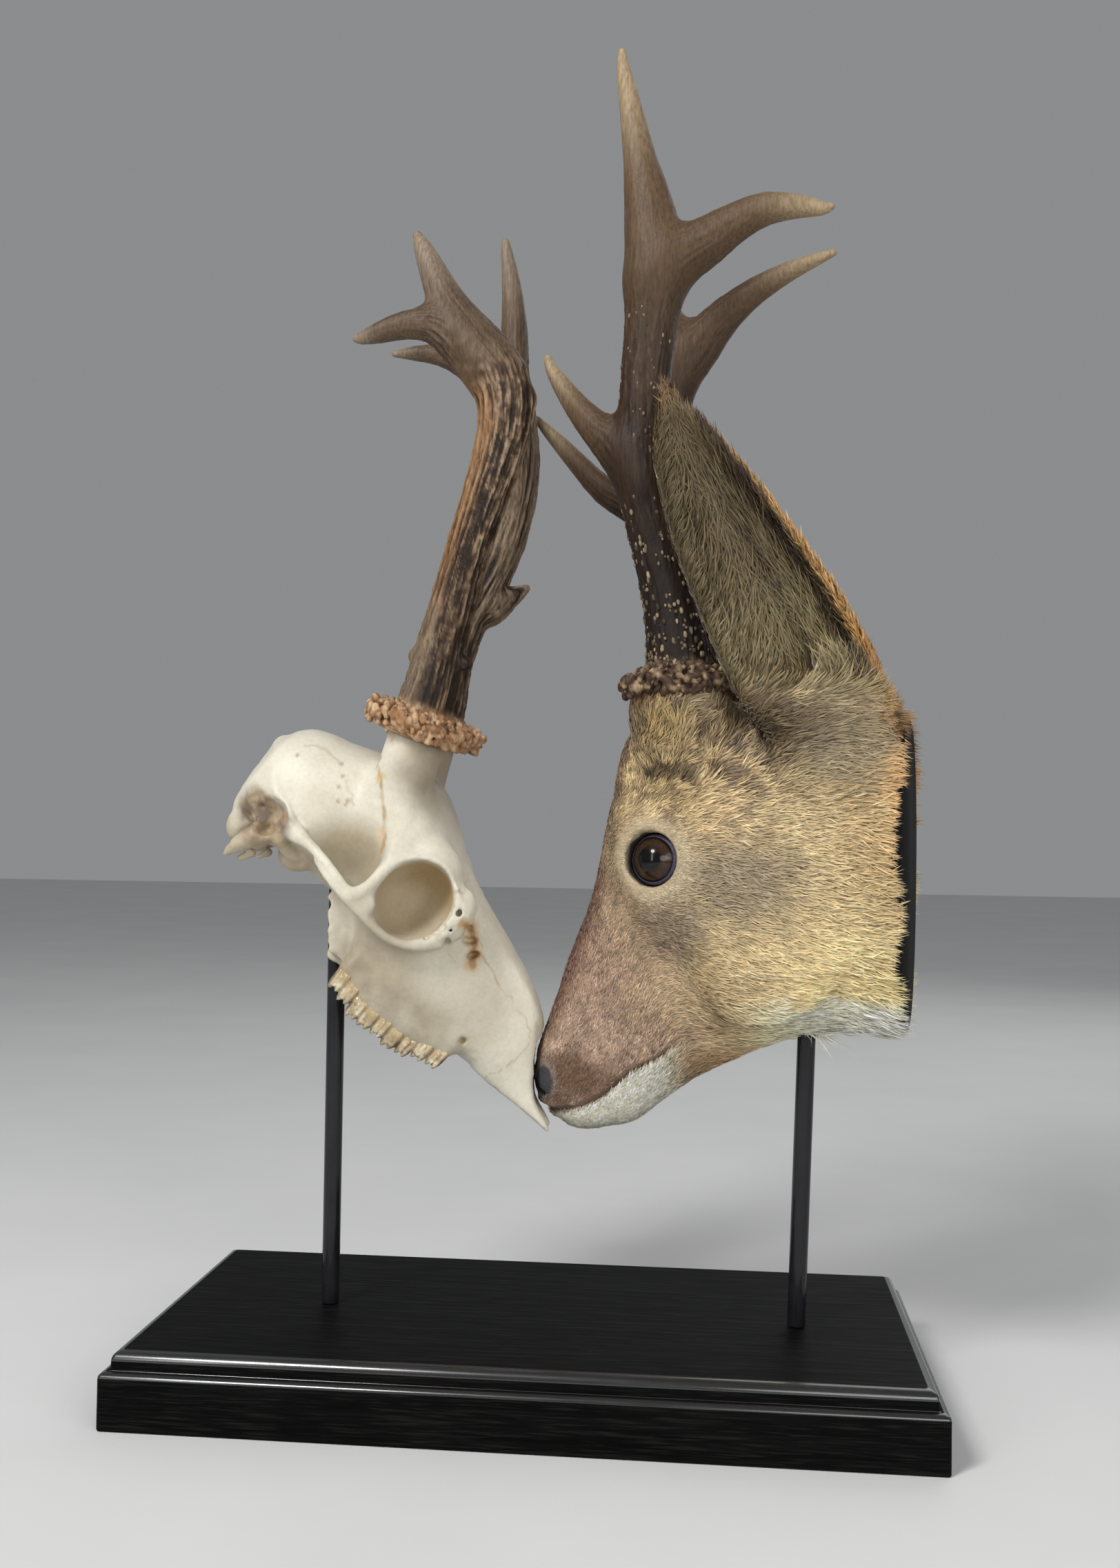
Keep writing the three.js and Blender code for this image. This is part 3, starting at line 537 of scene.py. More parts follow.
def make_stand():
    wood = ebonised_wood()
    length, depth, _ = BASE_SIZE
    corner_steps = np.linspace(0, math.pi / 2, 5)
    loops = []
    for inset, height in plinth_edge():
        loop = []
        for quarter, (sx, sy) in enumerate(((1, 1), (-1, 1), (-1, -1), (1, -1))):
            for angle in corner_steps + quarter * math.pi / 2:
                x = sx * (length / 2 - inset - BASE_CORNER) + BASE_CORNER * math.cos(angle)
                y = sy * (depth / 2 - inset - BASE_CORNER) + BASE_CORNER * math.sin(angle)
                loop.append((x, y, height))
        loops.append(loop)
    base = lofted("stand_plinth", loops, wood, smooth=False)
    base.data.materials.append(bead_lacquer())
    heights = [height for _, height in plinth_edge()]
    side = len(loops[0])
    for face in list(base.data.polygons)[: side * (len(heights) - 1)]:
        row = face.index // side
        rounded = 21.2 <= heights[row] < 23.4 or 27.1 <= heights[row] < 30.8
        face.material_index = int(rounded)
        face.use_smooth = rounded
    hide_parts("stand_base")
    paint = rod_paint()
    rods = (("stand_rod_skull", (-93.5, -3.5), 222, 0.0), ("stand_rod_head", (114.8, -7.3), 225, math.radians(1.6)))
    for node, (x, y), top, lean in rods:
        foot = 31.3 + 4 * math.sin(lean)
        length = (top - foot) / math.cos(lean)
        profile = [(3.4, 0), (3.9, 0.3), (4.0, 0.8)]
        profile += [(4.0, h) for h in np.linspace(6, length - 3, 8)]
        profile += [(3.9, length - 0.6), (3.4, length - 0.1)]
        loops = []
        for radius, height in profile:
            angles = np.linspace(0, 2 * math.pi, 40, endpoint=False)
            px, py, pz = radius * np.cos(angles), radius * np.sin(angles), np.full(40, height)
            cos, sin = math.cos(lean), math.sin(lean)
            loops.append(np.stack([x + px * cos + pz * sin, y + py, foot - px * sin + pz * cos], 1))
        rod = lofted(node.replace("rod", "rod_round"), loops, paint)
        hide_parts(node)


# ---- Skull ------------------------------------------------------------------------------------------------------

# In the skull's own frame x is the distance behind the tip of the snout, y is to the animal's left, z is dorsal.
SKULL_TIP = np.array([3.8, 6.5, 109.5])
SKULL_DOWN, SKULL_YAW = math.radians(40), math.radians(5)
ORBIT = np.array([113.3, 38.5, 42.4])
ORBIT_AXIS = np.array([-0.26, 1.0, 0.09])
ORBIT_RADII = (16.2, 17.2)
LOBES = 9


def skull_axes():
    cos, sin = math.cos(SKULL_YAW), math.sin(SKULL_YAW)
    forward = np.array([cos, sin, 0]) * math.cos(SKULL_DOWN) - np.array([0, 0, 1]) * math.sin(SKULL_DOWN)
    dorsal = np.array([cos, sin, 0]) * math.sin(SKULL_DOWN) + np.array([0, 0, 1]) * math.cos(SKULL_DOWN)
    return np.stack([-forward, [-sin, cos, 0], dorsal])


def skull_world(points):
    return SKULL_TIP + points @ skull_axes()


def skull_local(points):
    return (points - SKULL_TIP) @ skull_axes().T


def mirrored(shape):
    return lambda x, y, z: shape(x, np.abs(y), z)


def tooth_place(share):
    """Sideways place and lowest height of the cheek teeth at a share of the row's length."""
    across = 15.5 + 5.5 * math.sin(min(1, share * 1.3) * (math.pi / 2))
    low = -5.5 - 12.5 * math.sin(math.pi * (0.14 + share * 0.66))
    return across, low


def skull_bone_steps():
    steps = []
    add = lambda shape, blend=0.0: steps.append((1, mirrored(shape), blend))
    cut = lambda shape, blend=0.0: steps.append((-1, mirrored(shape), blend))
    cranium = [
        [24, 11, 8, 9, 11, 2.4, 2.6],
        [34, 15, 12, 18, 15, 2.5, 2.8],
        [45, 14, 15, 27.5, 14, 2.4, 2.9],
        [57, 12, 18.5, 35, 13, 2.3, 2.9],
        [70, 9, 22.5, 43, 17, 2.3, 2.9],
        [85, 9, 26, 48, 19, 2.3, 2.9],
        [98, 13, 28, 49.5, 22, 2.4, 2.9],
        [108, 24, 29, 44.5, 30, 2.5, 2.8],
        [117, 38, 31, 37, 41, 2.5, 2.6],
        [126, 50, 32.5, 31, 40, 2.4, 2.4],
        [136, 51, 32, 35, 33, 2.3, 2.2],
        [146, 51, 30.5, 36, 33, 2.2, 2.2],
        [158, 49, 31, 35, 31, 2.1, 2.2],
        [172, 47, 32, 32.4, 30, 2.1, 2.2],
        [184, 44, 30.5, 30.8, 29, 2.1, 2.2],
        [194, 41.5, 27.5, 30.2, 27, 2.1, 2.2],
        [201, 40, 24, 28, 26, 2.1, 2.2],
        [206, 40, 18, 22, 20, 2.1, 2.2],
        [208.5, 42, 9, 14, 11, 2.1, 2.2],
    ]
    add(sections(cranium))
    add(sections([
        [32.5, 32.5, 2.5, 1.6, 1.5, 2.1, 2],
        [36, 35.2, 6.5, 2.2, 2.2, 2.1, 2],
        [40, 37.5, 8.5, 2.6, 3, 2.2, 2],
        [52, 43, 10.5, 3.4, 4, 2.2, 2],
        [66, 48, 11.5, 3.6, 5, 2.2, 2],
        [80, 52.5, 12.5, 3.9, 6, 2.2, 2],
        [94, 57, 12, 4, 7, 2.2, 2],
        [104, 61, 9, 4, 7, 2.2, 2],
    ]), 5)
    # Behind the eye the skull is narrow, and the temple is hollow under the cheek arch.
    cut(ball((141, 44, 27), (17, 19, 16)), 6)
    cut(ball((158, 45, 22), (14, 19, 11)), 6)
    cut(ball((112, 47, 4), (17, 22, 16), 0.5), 7)
    # Eye cup, its hollow and its raised rim.
    add(ball((121, 27.5, 61), (18, 10, 9.5)), 7)
    add(ball((97, 29, 47), (10, 8, 14)), 6)
    add(cone(ORBIT, ORBIT_AXIS, [[-32, 20], [-16, 20.6], [-5, 20], [-1, 18.6]]), 6)
    cut(ball(ORBIT + ORBIT_AXIS * 2, (16.6, 27, 18.8)), 0.8)
    rim_wave = lambda angle: -1.2 + 0.7 * np.sin(angle * 2 + 0.8)
    rim_thick = lambda angle: 1.0 + 0.45 * np.cos(angle + 1.0)
    add(ring(ORBIT, ORBIT_AXIS, (17.6, 19.8), rim_thick, rim_wave), 1.3)
    add(ball((129.5, 43.2, 28.5), (6.5, 1.9, 5)), 2)
    for angle, size in ((128, 1.2), (140, 1.5), (153, 1.2), (165, 1.7), (179, 1.3), (195, 1.9), (208, 2.4), (222, 2.2)):
        a = math.radians(angle)
        bump = ORBIT + np.array([math.cos(a) * 18, -math.cos(a) * 18 * -0.26, math.sin(a) * 20])
        add(ball(bump, (size, size, size)), 1.4)
    for angle in range(88, 214, 9):
        a = math.radians(angle + 3 * math.sin(angle))
        notch = ORBIT + np.array([math.cos(a) * 16.4, math.cos(a) * 4.3 + 1.2, math.sin(a) * 18.8])
        cut(ball(notch, (1.1, 2.0, 1.1)), 0.6)
    # Cheek arch: the lower bar comes from the face, the upper one from in front of the ear.
    add(chain([
        [93, 32, 35, 2.8],
        [97.5, 34, 29.5, 2.3],
        [103, 36.5, 25.2, 1.8],
        [112, 39.8, 22.9, 1.8],
        [121, 42.2, 23.2, 2.0],
        [130, 44, 24.6, 2.3],
        [139, 44.6, 25.8, 2.2],
        [148, 43.5, 27, 1.9],
        [156, 41.5, 28.6, 1.3],
    ], 2), 2.2)
    add(chain([
        [178, 25, 30, 6],
        [171, 32, 30.5, 4.2],
        [163, 39, 31.6, 2.6],
        [153, 43, 31, 2.2],
        [144, 44.6, 29.4, 2.1],
        [136, 45, 28, 1.8],
    ], 2), 1.4)
    add(chain([
        [132, 29, 64, 7],
        [132.6, 36, 54.5, 4.3],
        [131.6, 40.4, 46, 2.7],
        [131.6, 42.6, 39, 2.2],
        [132.4, 44, 32, 2.3],
        [134.5, 44.6, 27, 2.6],
    ], 2), 3)
    # Ridges over the ear and at the back of the head.
    add(chain([[173, 31.5, 30.5, 2.4], [177.5, 32, 34, 1.8], [184, 31, 37, 1.8], [191, 27, 38.5, 2.2]], 2), 2)
    add(chain([
        [183, 28.5, 33, 2.6],
        [195, 25, 41, 2.6],
        [203.5, 15, 50.5, 2.6],
        [207, 5, 53.5, 2.8],
        [207, 0, 54, 2.8],
    ], 2), 3.5)
    add(ball((204, 0, 47), (5, 6, 12)), 6)
    add(ball((195.5, 10.5, 15), (7, 7.5, 8.5), 0.5), 2)
    add(chain([[181, 24, 27, 6.5], [187, 23.5, 15, 5], [190.5, 21.8, 5, 2.4], [191.2, 21, 2, 1.4]], 2), 3)
    add(ball((167, 15, 20.5), (8.5, 5.5, 6.5), 0.3), 3)
    add(chain([[168, 20, 21, 3.6], [176, 27, 23, 3.2]], 1), 2)
    add(chain([[183, 19, 9, 2.2], [185, 19.5, 4.5, 1.5]], 1), 1.5)
    # Walls of the throat channel, with the hook behind, and the ragged wings outside them.
    for place in (9.6, 13.4):
        wall = [[104, -6, 30], [112, -5.8, 30], [122, -4.2, 27], [128, -4.5, 24], [131, 0, 24], [143, 13, 27]]
        rows = [[s, (low + high) / 2, 1.5, (high - low) / 2, (high - low) / 2, 5, 5] for s, low, high in wall]
        shifted = rows if place < 10 else [[r[0] + 2, r[1] + 3, *r[2:]] for r in rows]
        add(sections(shifted, place), 2)
    for centre, radii in (
        ((131.5, 13, -1.5), (2.2, 9, 2.2)),
        ((138, 13, 6), (2.6, 9, 1.6)),
        ((142.5, 13, 13), (1.8, 9, 2.6)),
        ((124.5, 13, -7), (3, 9, 1.8)),
        ((116, 13, -8), (2.2, 9, 2.4)),
    ):
        cut(ball(centre, radii, 0.4), 0.8)
    # Snout: a blade on each side that runs to the flat tip, with the palate between.
    add(sections([
        [0.9, 0.7, 1.6, 1.2, 0.6, 2.2, 2.2],
        [5, 1.5, 2.6, 2.2, 1.3, 2.3, 2.3],
        [11, 2.8, 3.2, 3.0, 2.6, 2.4, 2.6],
        [16, 4.3, 3.2, 4.2, 4.2, 2.5, 2.6],
        [21, 6.8, 3.2, 6.8, 6.6, 2.6, 2.6],
        [26, 10, 3.2, 9.8, 9.8, 2.6, 2.6],
        [31, 13.5, 3.2, 13, 13.3, 2.6, 2.6],
        [37, 16, 3.4, 15.5, 15.8, 2.6, 2.6],
        [44, 16, 3.0, 13, 15, 2.6, 2.6],
    ], 7.2), 5)
    # Socket bone round the roots of the cheek teeth.
    for lobe in range(LOBES):
        share = (lobe + 0.5) / LOBES
        across, low = tooth_place(share)
        add(ball((57.5 + share * 61.5, across - 0.4, low + 14.5), (4.6, 5.2, 8)), 5)
    # Pedicles and the ridges that run down from them.
    add(chain([[141, 20, 57, 17], [148.5, 24.2, 72, 14.2], [155, 26.6, 86, 12.9], [163, 27.2, 104, 12.3]], 3), 9)
    add(chain([[146, 31, 70, 5], [138, 33, 62, 4.6], [132, 34, 55, 4]], 2), 5)
    # Openings.
    cut(chain([[8, 0, 27, 9], [-14, 0, 25, 9]], 1), 0)
    cut(chain([[-4, 0, 20, 9], [14, 0, 19, 7.4], [30, 0, 21, 8.4], [46, 0, 22, 8.6], [64, 0, 24, 7]], 2), 1)
    cut(chain([[214, 0, 19, 8], [204, 0, 21, 7.4], [190, 0, 27, 5]], 2), 1)
    cut(chain([[106, 0, -16, 6.6], [116, 0, -3, 6.8], [130, 0, 4, 7], [150, 0, 0, 7.4]], 2), 1)
    cut(ball((187.3, 33.5, 27.5), (10.6, 10.5, 9.8), 0.2), 0.8)
    cut(ball((184, 27, 23), (3.6, 7, 3.6)), 1)
    cut(ball((192, 27, 29), (2.6, 5, 2.2)), 0.8)
    for centre, radii, turn in (
        ((87, 25, 48), (2.4, 10, 2.4), 0.9),
        ((82.5, 24, 44.5), (4.6, 10, 2.0), 0.85),
        ((78, 23, 40), (3.8, 10, 1.8), 0.9),
        ((85.5, 25, 42.5), (1.6, 9, 2.6), 0.3),
        ((93.4, 30, 43.5), (1.9, 6, 2.4), 0.6),
        ((90.5, 29, 38), (1.5, 6, 3.2), 0.5),
        ((95, 33, 51), (1.5, 4, 2.2), 0.2),
    ):
        cut(ball(centre, radii, turn), 0.6)
    for centre, radius in (((57, 18.5, 8), 1.5), ((96, 33, 38), 1.2), ((98.5, 34.5, 33.5), 1.1), ((137, 22, 84), 1.3)):
        cut(ball(centre, (radius, radius * 2, radius)), 0.6)
    rod = [skull_local(np.array([[-93.5, -3.5, height]]))[0] for height in (31, 222.3)]
    steps.append((-1, cone(rod[0], rod[1] - rod[0], [[0, 4.25], [191.3, 4.25]]), 0))
    # The cut face under the antler.
    for antler in SKULL_ANTLERS:
        foot, axis = np.array(antler["beam"][0][:3]), antler_axis(antler["beam"])
        local_foot = skull_local(foot[None])[0]
        local_axis = skull_axes() @ axis
        steps.append((-1, cone(local_foot - local_axis * 0.25, local_axis, [[0, 27], [40, 27]]), 0))
    return steps


def near_path(points, path):
    """Distance from 2-D points to a broken line."""
    best = np.full(len(points), 1e9)
    for a, b in zip(path[:-1], path[1:]):
        a, b = np.array(a, float), np.array(b, float)
        t = np.clip((points - a) @ (b - a) / ((b - a) @ (b - a)), 0, 1)
        best = np.minimum(best, np.linalg.norm(points - a - t[:, None] * (b - a), axis=1))
    return best


def bone_colours(local, normal):
    """Colour of the bone at points of the skull's frame, with shade painted into its hollows and onto the side of the
    face.
    """
    s, y, w = local.T
    side = np.abs(y)
    flat = np.stack([s, w], 1)
    colours = np.tile([0.63, 0.59, 0.485], (len(s), 1))
    colours = tint(colours, (0.76, 0.73, 0.62), smooth_step(-0.2, 0.8, layered(local, 26, 3)) * 0.7)
    colours = tint(colours, (0.52, 0.45, 0.32), smooth_step(0.0, 0.8, layered(local, 17, 11)) * 0.5)
    # Painted shade: the hollow temple behind the eye is darkened.
    fossa_shade = smooth_step(26, 10, np.hypot(s - 146, w - 36)) * smooth_step(44, 38, side)
    colours = tint(colours, (0.30, 0.24, 0.15), fossa_shade * 0.88)
    # Painted shade: the side of the face below the eye is darkened, as a side turned from the light.
    face = smooth_step(46, 30, w) * smooth_step(40, 58, s) * smooth_step(150, 130, s) * smooth_step(12, 16, side)
    colours = tint(colours, (0.47, 0.42, 0.32), face * (0.6 + 0.25 * layered(local, 15, 94)))
    # Painted shade inside the eye socket, stronger towards its upper part.
    inner = ((s - ORBIT[0]) / 17.5) ** 2 + ((w - ORBIT[2]) / 18.5) ** 2
    cup = smooth_step(1.0, 0.75, inner) * smooth_step(39, 33, side)
    colours = tint(colours, (0.37, 0.255, 0.115), cup * (0.5 + 0.4 * smooth_step(38, 56, w)))
    # Painted shade in the hollow under the cheek arch.
    under = smooth_step(26, 8, np.hypot((s - 112) * 0.8, w - 12)) * smooth_step(16, 24, side)
    colours = tint(colours, (0.40, 0.335, 0.24), under * 0.7)
    ear = smooth_step(18, 10, np.hypot(s - 188, w - 26)) * smooth_step(13, 20, side)
    brown = tint(np.tile([0.115, 0.070, 0.038], (len(s), 1)), (0.36, 0.255, 0.155), smooth_step(-0.3, 0.5, layered(local, 4, 5)))
    colours = colours + (brown - colours) * (ear * smooth_step(37, 33, w))[:, None] * 0.9
    slit = near_path(flat, [(88.5, 49), (86, 47.5), (82, 44.5), (78.5, 40.5), (75.5, 36)])
    tear = smooth_step(5.0, 1.0, slit + 2.2 * layered(local, 3.5, 7)) * smooth_step(10, 13, side)
    colours = tint(colours, (0.50, 0.31, 0.13), tear * 0.8)
    colours = tint(colours, (0.30, 0.165, 0.065), smooth_step(1.8, 0.6, slit + 0.8 * noise(local, 2, 8)) * smooth_step(10, 13, side) * 0.8)
    hole = smooth_step(3.6, 1.8, np.hypot(s - 57, w - 8)) * smooth_step(12, 15, side)
    colours = tint(colours, (0.50, 0.39, 0.22), hole * 0.6)
    seams = [
        ([(172, 84), (164, 77), (158, 72), (154, 69), (149, 64), (145.6, 60), (141, 55), (138, 50)], 1.1, 0.8),
        ([(80, 46), (74, 41), (60, 37), (45, 33), (38, 30.5)], 0.6, 0.6),
        ([(37, 31), (34, 26), (33, 18), (35, 8), (38, 1)], 0.55, 0.45),
        ([(92, 40), (86, 34), (78, 30), (72, 33), (76, 38)], 0.6, 0.3),
        ([(196, 61), (188, 66), (180, 66), (172, 63), (166, 59), (160, 57)], 0.9, 0.35),
        ([(97, 56), (102, 62), (104, 66)], 0.6, 0.3),
    ]
    wobble = np.stack([noise(local, 3.5, 21), noise(local, 3.5, 22)], 1) * 1.5
    for path, width, strength in seams:
        line = smooth_step(width, width * 0.3, near_path(flat + wobble, path))
        broken = smooth_step(-1.0, 0.2, noise(local, 4.5, 31))
        colours = tint(colours, (0.36, 0.25, 0.13), line * broken * strength)
    coronal = smooth_step(5, 1, near_path(flat, seams[0][0])) * smooth_step(0.1, 0.7, layered(local, 5, 41))
    colours = tint(colours, (0.58, 0.40, 0.18), coronal * 0.75)
    middle = smooth_step(0.7, 0.2, np.abs(y + noise(local, 3, 51) * 0.9)) * smooth_step(30, 36, w + s * 0.25)
    colours = tint(colours, (0.48, 0.36, 0.2), middle * 0.5)
    bulla = smooth_step(19, 11, np.hypot(s - 171, w - 18)) * smooth_step(5, 9, side) * smooth_step(29, 24, w)
    colours = tint(colours, (0.36, 0.275, 0.17), bulla * (0.7 + 0.25 * layered(local, 4, 92)))
    pits = [(177.5, 66), (173, 62.5), (171, 58), (164, 56), (163.5, 54), (195, 56), (167, 53)]
    for at in pits:
        colours = tint(colours, (0.36, 0.28, 0.16), smooth_step(1.3, 0.5, np.hypot(s - at[0], w - at[1])) * 0.75)
    collar = smooth_step(84, 92, w) * smooth_step(-0.3, 0.5, layered(local, 6, 61))
    colours = tint(colours, (0.66, 0.5, 0.3), collar * 0.5)
    # Painted shade on the inner walls of the nose opening, those that face the middle.
    nasal = smooth_step(13, 9, side) * smooth_step(66, 40, s) * smooth_step(3, 8, w) * smooth_step(33, 28, w)
    colours = tint(colours, (0.30, 0.21, 0.12), nasal * smooth_step(0.2, -0.2, normal[:, 1] * np.sign(y)) * 0.8)
    low = smooth_step(22, 6, w) * smooth_step(150, 165, s)
    colours = tint(colours, (0.40, 0.32, 0.21), low * 0.75)
    # Painted shade on the lower face above the cheek teeth.
    socket_shade = smooth_step(20, 4, w) * smooth_step(54, 72, s) * smooth_step(135, 118, s)
    colours = tint(colours, (0.26, 0.21, 0.14), socket_shade * (0.6 + 0.35 * layered(local, 5, 91)))
    # Painted shade on the front side of the pedicles.
    pedicle_front_shade = smooth_step(68, 84, w) * smooth_step(165, 150, s)
    colours = tint(colours, (0.26, 0.21, 0.145), pedicle_front_shade * (0.75 + 0.2 * layered(local, 9, 93)))
    return colours


def bone_finish():
    finish = Finish("bone", Roughness=0.55, Specular_IOR_Level=0.35, Subsurface_Weight=0.12, Subsurface_Scale=0.002, Coat_Weight=0.08)
    finish.shader.inputs["Subsurface Radius"].default_value = (1.0, 0.7, 0.4)
    finish.shader.inputs["Coat Roughness"].default_value = 0.3
    fine = finish.cloud(520.0, 6.0, 0.65)
    speck = finish.cloud(1500.0, 3.0, 0.6)
    mottled = finish.blended("MULTIPLY", 1.0, finish.painted(), finish.ramp(fine, (0.3, (0.9, 0.885, 0.85)), (0.62, 1.0)))
    specked = finish.ramp(speck, (0.24, (0.72, 0.64, 0.5)), (0.33, 1.0))
    finish.link(finish.blended("MULTIPLY", 0.7, mottled, specked), "Base Color")
    finish.link(finish.ramp(fine, (0.3, 0.45), (0.7, 0.65)), "Roughness")
    broad = finish.bump(finish.cloud(160.0, 4.0, 0.6), 0.35, 0.0006)
    finish.link(finish.bump(speck, 0.25, 0.00015, broad), "Normal")
    return finish.made


def tooth_finish():
    finish = Finish("enamel", Roughness=0.3, Coat_Weight=0.3, Coat_Roughness=0.15)
    streaks = finish.cloud(700.0, 4.0, 0.6)
    finish.link(finish.blended("MULTIPLY", 0.8, finish.painted(), finish.ramp(streaks, (0.3, (0.75, 0.66, 0.5)), (0.6, 1.0))), "Base Color")
    finish.link(finish.bump(streaks, 0.3, 0.0003), "Normal")
    return finish.made


def tooth_steps():
    steps = []
    for lobe in range(LOBES):
        share = (lobe + 0.5) / LOBES
        across, low = tooth_place(share)
        s = 57.5 + share * 61.5
        big = (1.16 if lobe > 2 else 1.02) + 0.07 * math.sin(lobe * 2.7)
        low += 1.3 + 0.9 * math.sin(lobe * 1.9)
        s += 0.5 * math.sin(lobe * 3.1)
        gum = low + 9
        for off, tall in ((-1.75, 0.5), (1.65, 0)):
            cusp = chain([[s + off, across + 3.0, gum, 1.95 * big], [s + off + 0.1, across + 3.6, low + 3.4 + tall, 1.6 * big],
                          [s + off + 0.3, across + 2.9, low + 0.6 + tall, 0.7]], 2)
            steps.append((1, mirrored(cusp), 0.7))
        inner = chain([[s - 0.4, across - 2.6, gum, 2.6 * big], [s - 0.4, across - 3, low + 4, 2.3 * big],
                       [s - 0.4, across - 2.6, low + 1.4, 1.0]], 2)
        rib = chain([[s, across + 5.0, gum - 1, 0.8], [s + 0.3, across + 4.8, low + 2.6, 0.55]], 1)
        for shape, blend in ((inner, 1.2), (rib, 0.6)):
            steps.append((1, mirrored(shape), blend))
    core = []
    for part in range(7):
        across, low = tooth_place(part / 6)
        core.append([59.5 + part / 6 * 57.5, across, low + 7.6, 2.4])
    steps.append((1, mirrored(chain(core, 2)), 0.4))
    return steps


def tooth_colours(local):
    s, y, w = local.T
    share = np.clip((s - 57.5) / 61.5, 0, 1)
    low = -5.5 - 12.5 * np.sin(math.pi * (0.14 + share * 0.66))
    height = w - low
    colours = np.tile([0.44, 0.355, 0.225], (len(s), 1))
    colours = tint(colours, (0.74, 0.67, 0.50), smooth_step(-0.1, 0.6, layered(local, 4, 71)))
    # Painted shade in the gaps between the cheek teeth.
    gap = np.abs((share * LOBES) % 1 - 0.5) * 2
    gap_shade = smooth_step(0.55, 0.92, gap) * smooth_step(-0.9, 0.2, noise(local, 4, 72))
    colours = tint(colours, (0.085, 0.055, 0.030), gap_shade * 0.94)
    colours = tint(colours, (0.16, 0.105, 0.055), smooth_step(0.0, 0.6, layered(local, 2.4, 73)) * 0.75)
    colours = tint(colours, (0.25, 0.17, 0.08), smooth_step(2.4, 0.6, height) * 0.5)
    colours = tint(colours, (0.45, 0.34, 0.18), smooth_step(6, 9.5, height) * 0.6)
    return colours


def make_skull():
    points, faces = surface(skull_bone_steps(), (-1.5, -52, -22), (213, 52, 112), 0.93)
    faces = outward(points, faces)
    points = relaxed(points, faces, 2)
    normal = normals_of(points, faces)
    s, y, w = points.T
    rough = layered(points, 7, 81) * 0.22 + layered(points, 2.4, 82) * 0.10
    ear = smooth_step(17, 7, np.hypot(s - 190, w - 26)) * smooth_step(13, 20, np.abs(y))
    rough += ear * layered(points, 3, 83) * 1.3
    rough += smooth_step(20, 8, w) * smooth_step(124, 132, s) * layered(points, 5, 84) * 0.9
    front = smooth_step(17, 6, np.hypot(s - 88, w - 44)) * smooth_step(17, 21, np.abs(y))
    rough += front * (layered(points, 4.5, 85) * 0.9 - 0.9 * smooth_step(0.35, 0.7, layered(points, 6, 86)))
    points = points + normal * rough[:, None]
    colours = bone_colours(points, normal)
    world = skull_world(points)
    bone = mesh_object("skull_bone", world, outward(world - world.mean(0), faces), bone_finish(), colours)
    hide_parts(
        "skull_braincase",
        "skull_frontal",
        "skull_maxilla",
        "skull_premaxilla",
        "skull_nasals",
        "skull_arch_right",
        "skull_arch_left",
    )
    points, faces = surface(tooth_steps(), (50, -32, -24), (126, 32, 12), 0.5)
    world = skull_world(points)
    teeth = mesh_object("skull_teeth", world, outward(world - world.mean(0), faces), tooth_finish(), tooth_colours(points))


# ---- Antlers ----------------------------------------------------------------------------------------------------

SKULL_ANTLERS = [
    {
        "name": "antler_right",
        "beam": [
            [-55, -25.6, 286.5, 12.6],
            [-48.5, -27, 305, 12.4],
            [-43, -28.5, 325, 11],
            [-37, -30.5, 347, 10],
            [-31, -32.5, 368, 9.8],
            [-24, -34, 390, 10.2],
            [-17.5, -35, 411, 11],
            [-15, -35.5, 428, 12.2],
            [-18, -35.3, 443, 12.6],
            [-27, -35, 456, 11.6],
            [-36, -34.5, 468, 9.6],
            [-43, -34, 479, 8],
            [-48.5, -33, 491, 6.2],
            [-53, -32, 501, 4.4],
            [-56.2, -31, 508, 2.2],
        ],
        "tines": [[
            [-24, -35, 446, 9.5],
            [-36, -36, 458, 9.2],
            [-47, -37, 465.5, 7.8],
            [-59, -37.5, 466, 6.2],
            [-71, -37, 463, 4.6],
            [-79, -36, 461, 2.8],
            [-82, -35.5, 461, 1.6],
        ]],
        "knobs": [[-6, -34.5, 433, 4.2], [-54.5, -30, 322, 2.6], [-31.5, -31, 318, 3.4]],
    },
    {
        "name": "antler_left",
        "beam": [
            [-57.5, 27.3, 286, 12.4],
            [-53, 28.5, 306, 12.2],
            [-50, 30, 325, 11.4],
            [-43, 32, 346, 11],
            [-33, 33.5, 366, 11],
            [-26, 34.5, 384, 11.2],
            [-21, 35.5, 405, 11.6],
            [-20, 36, 424, 12],
            [-21, 37, 442, 11.2],
            [-22, 38, 458, 8.8],
            [-21.5, 38.5, 476, 7],
            [-22, 38.5, 494, 6],
            [-23.5, 38, 511, 4.6],
            [-25.5, 37.5, 524, 3.2],
            [-26.4, 37, 531, 2],
        ],
        "tines": [[
            [-24, 37, 446, 9],
            [-34, 37.5, 462, 8],
            [-46, 38, 471.5, 6.4],
            [-58, 38, 476.5, 5],
            [-70, 37.5, 477.5, 3.6],
            [-80, 36.5, 477, 1.6],
        ]],
        "knobs": [
            [-31, 33.6, 351.5, 8],
            [-27, 33.8, 354, 6.8],
            [-23, 34, 356, 5.4],
            [-19.4, 34.2, 358, 4],
            [-16.2, 34.4, 360, 2.8],
            [-13.4, 34.6, 361.8, 1.7],
        ],
    },
]


def antler_axis(beam):
    axis = np.array(beam[1][:3]) - np.array(beam[0][:3])
    return axis / np.linalg.norm(axis)


def across_axis(axis):
    u = np.cross(axis, (0, 1, 0))
    u /= np.linalg.norm(u)
    return u, np.cross(axis, u)


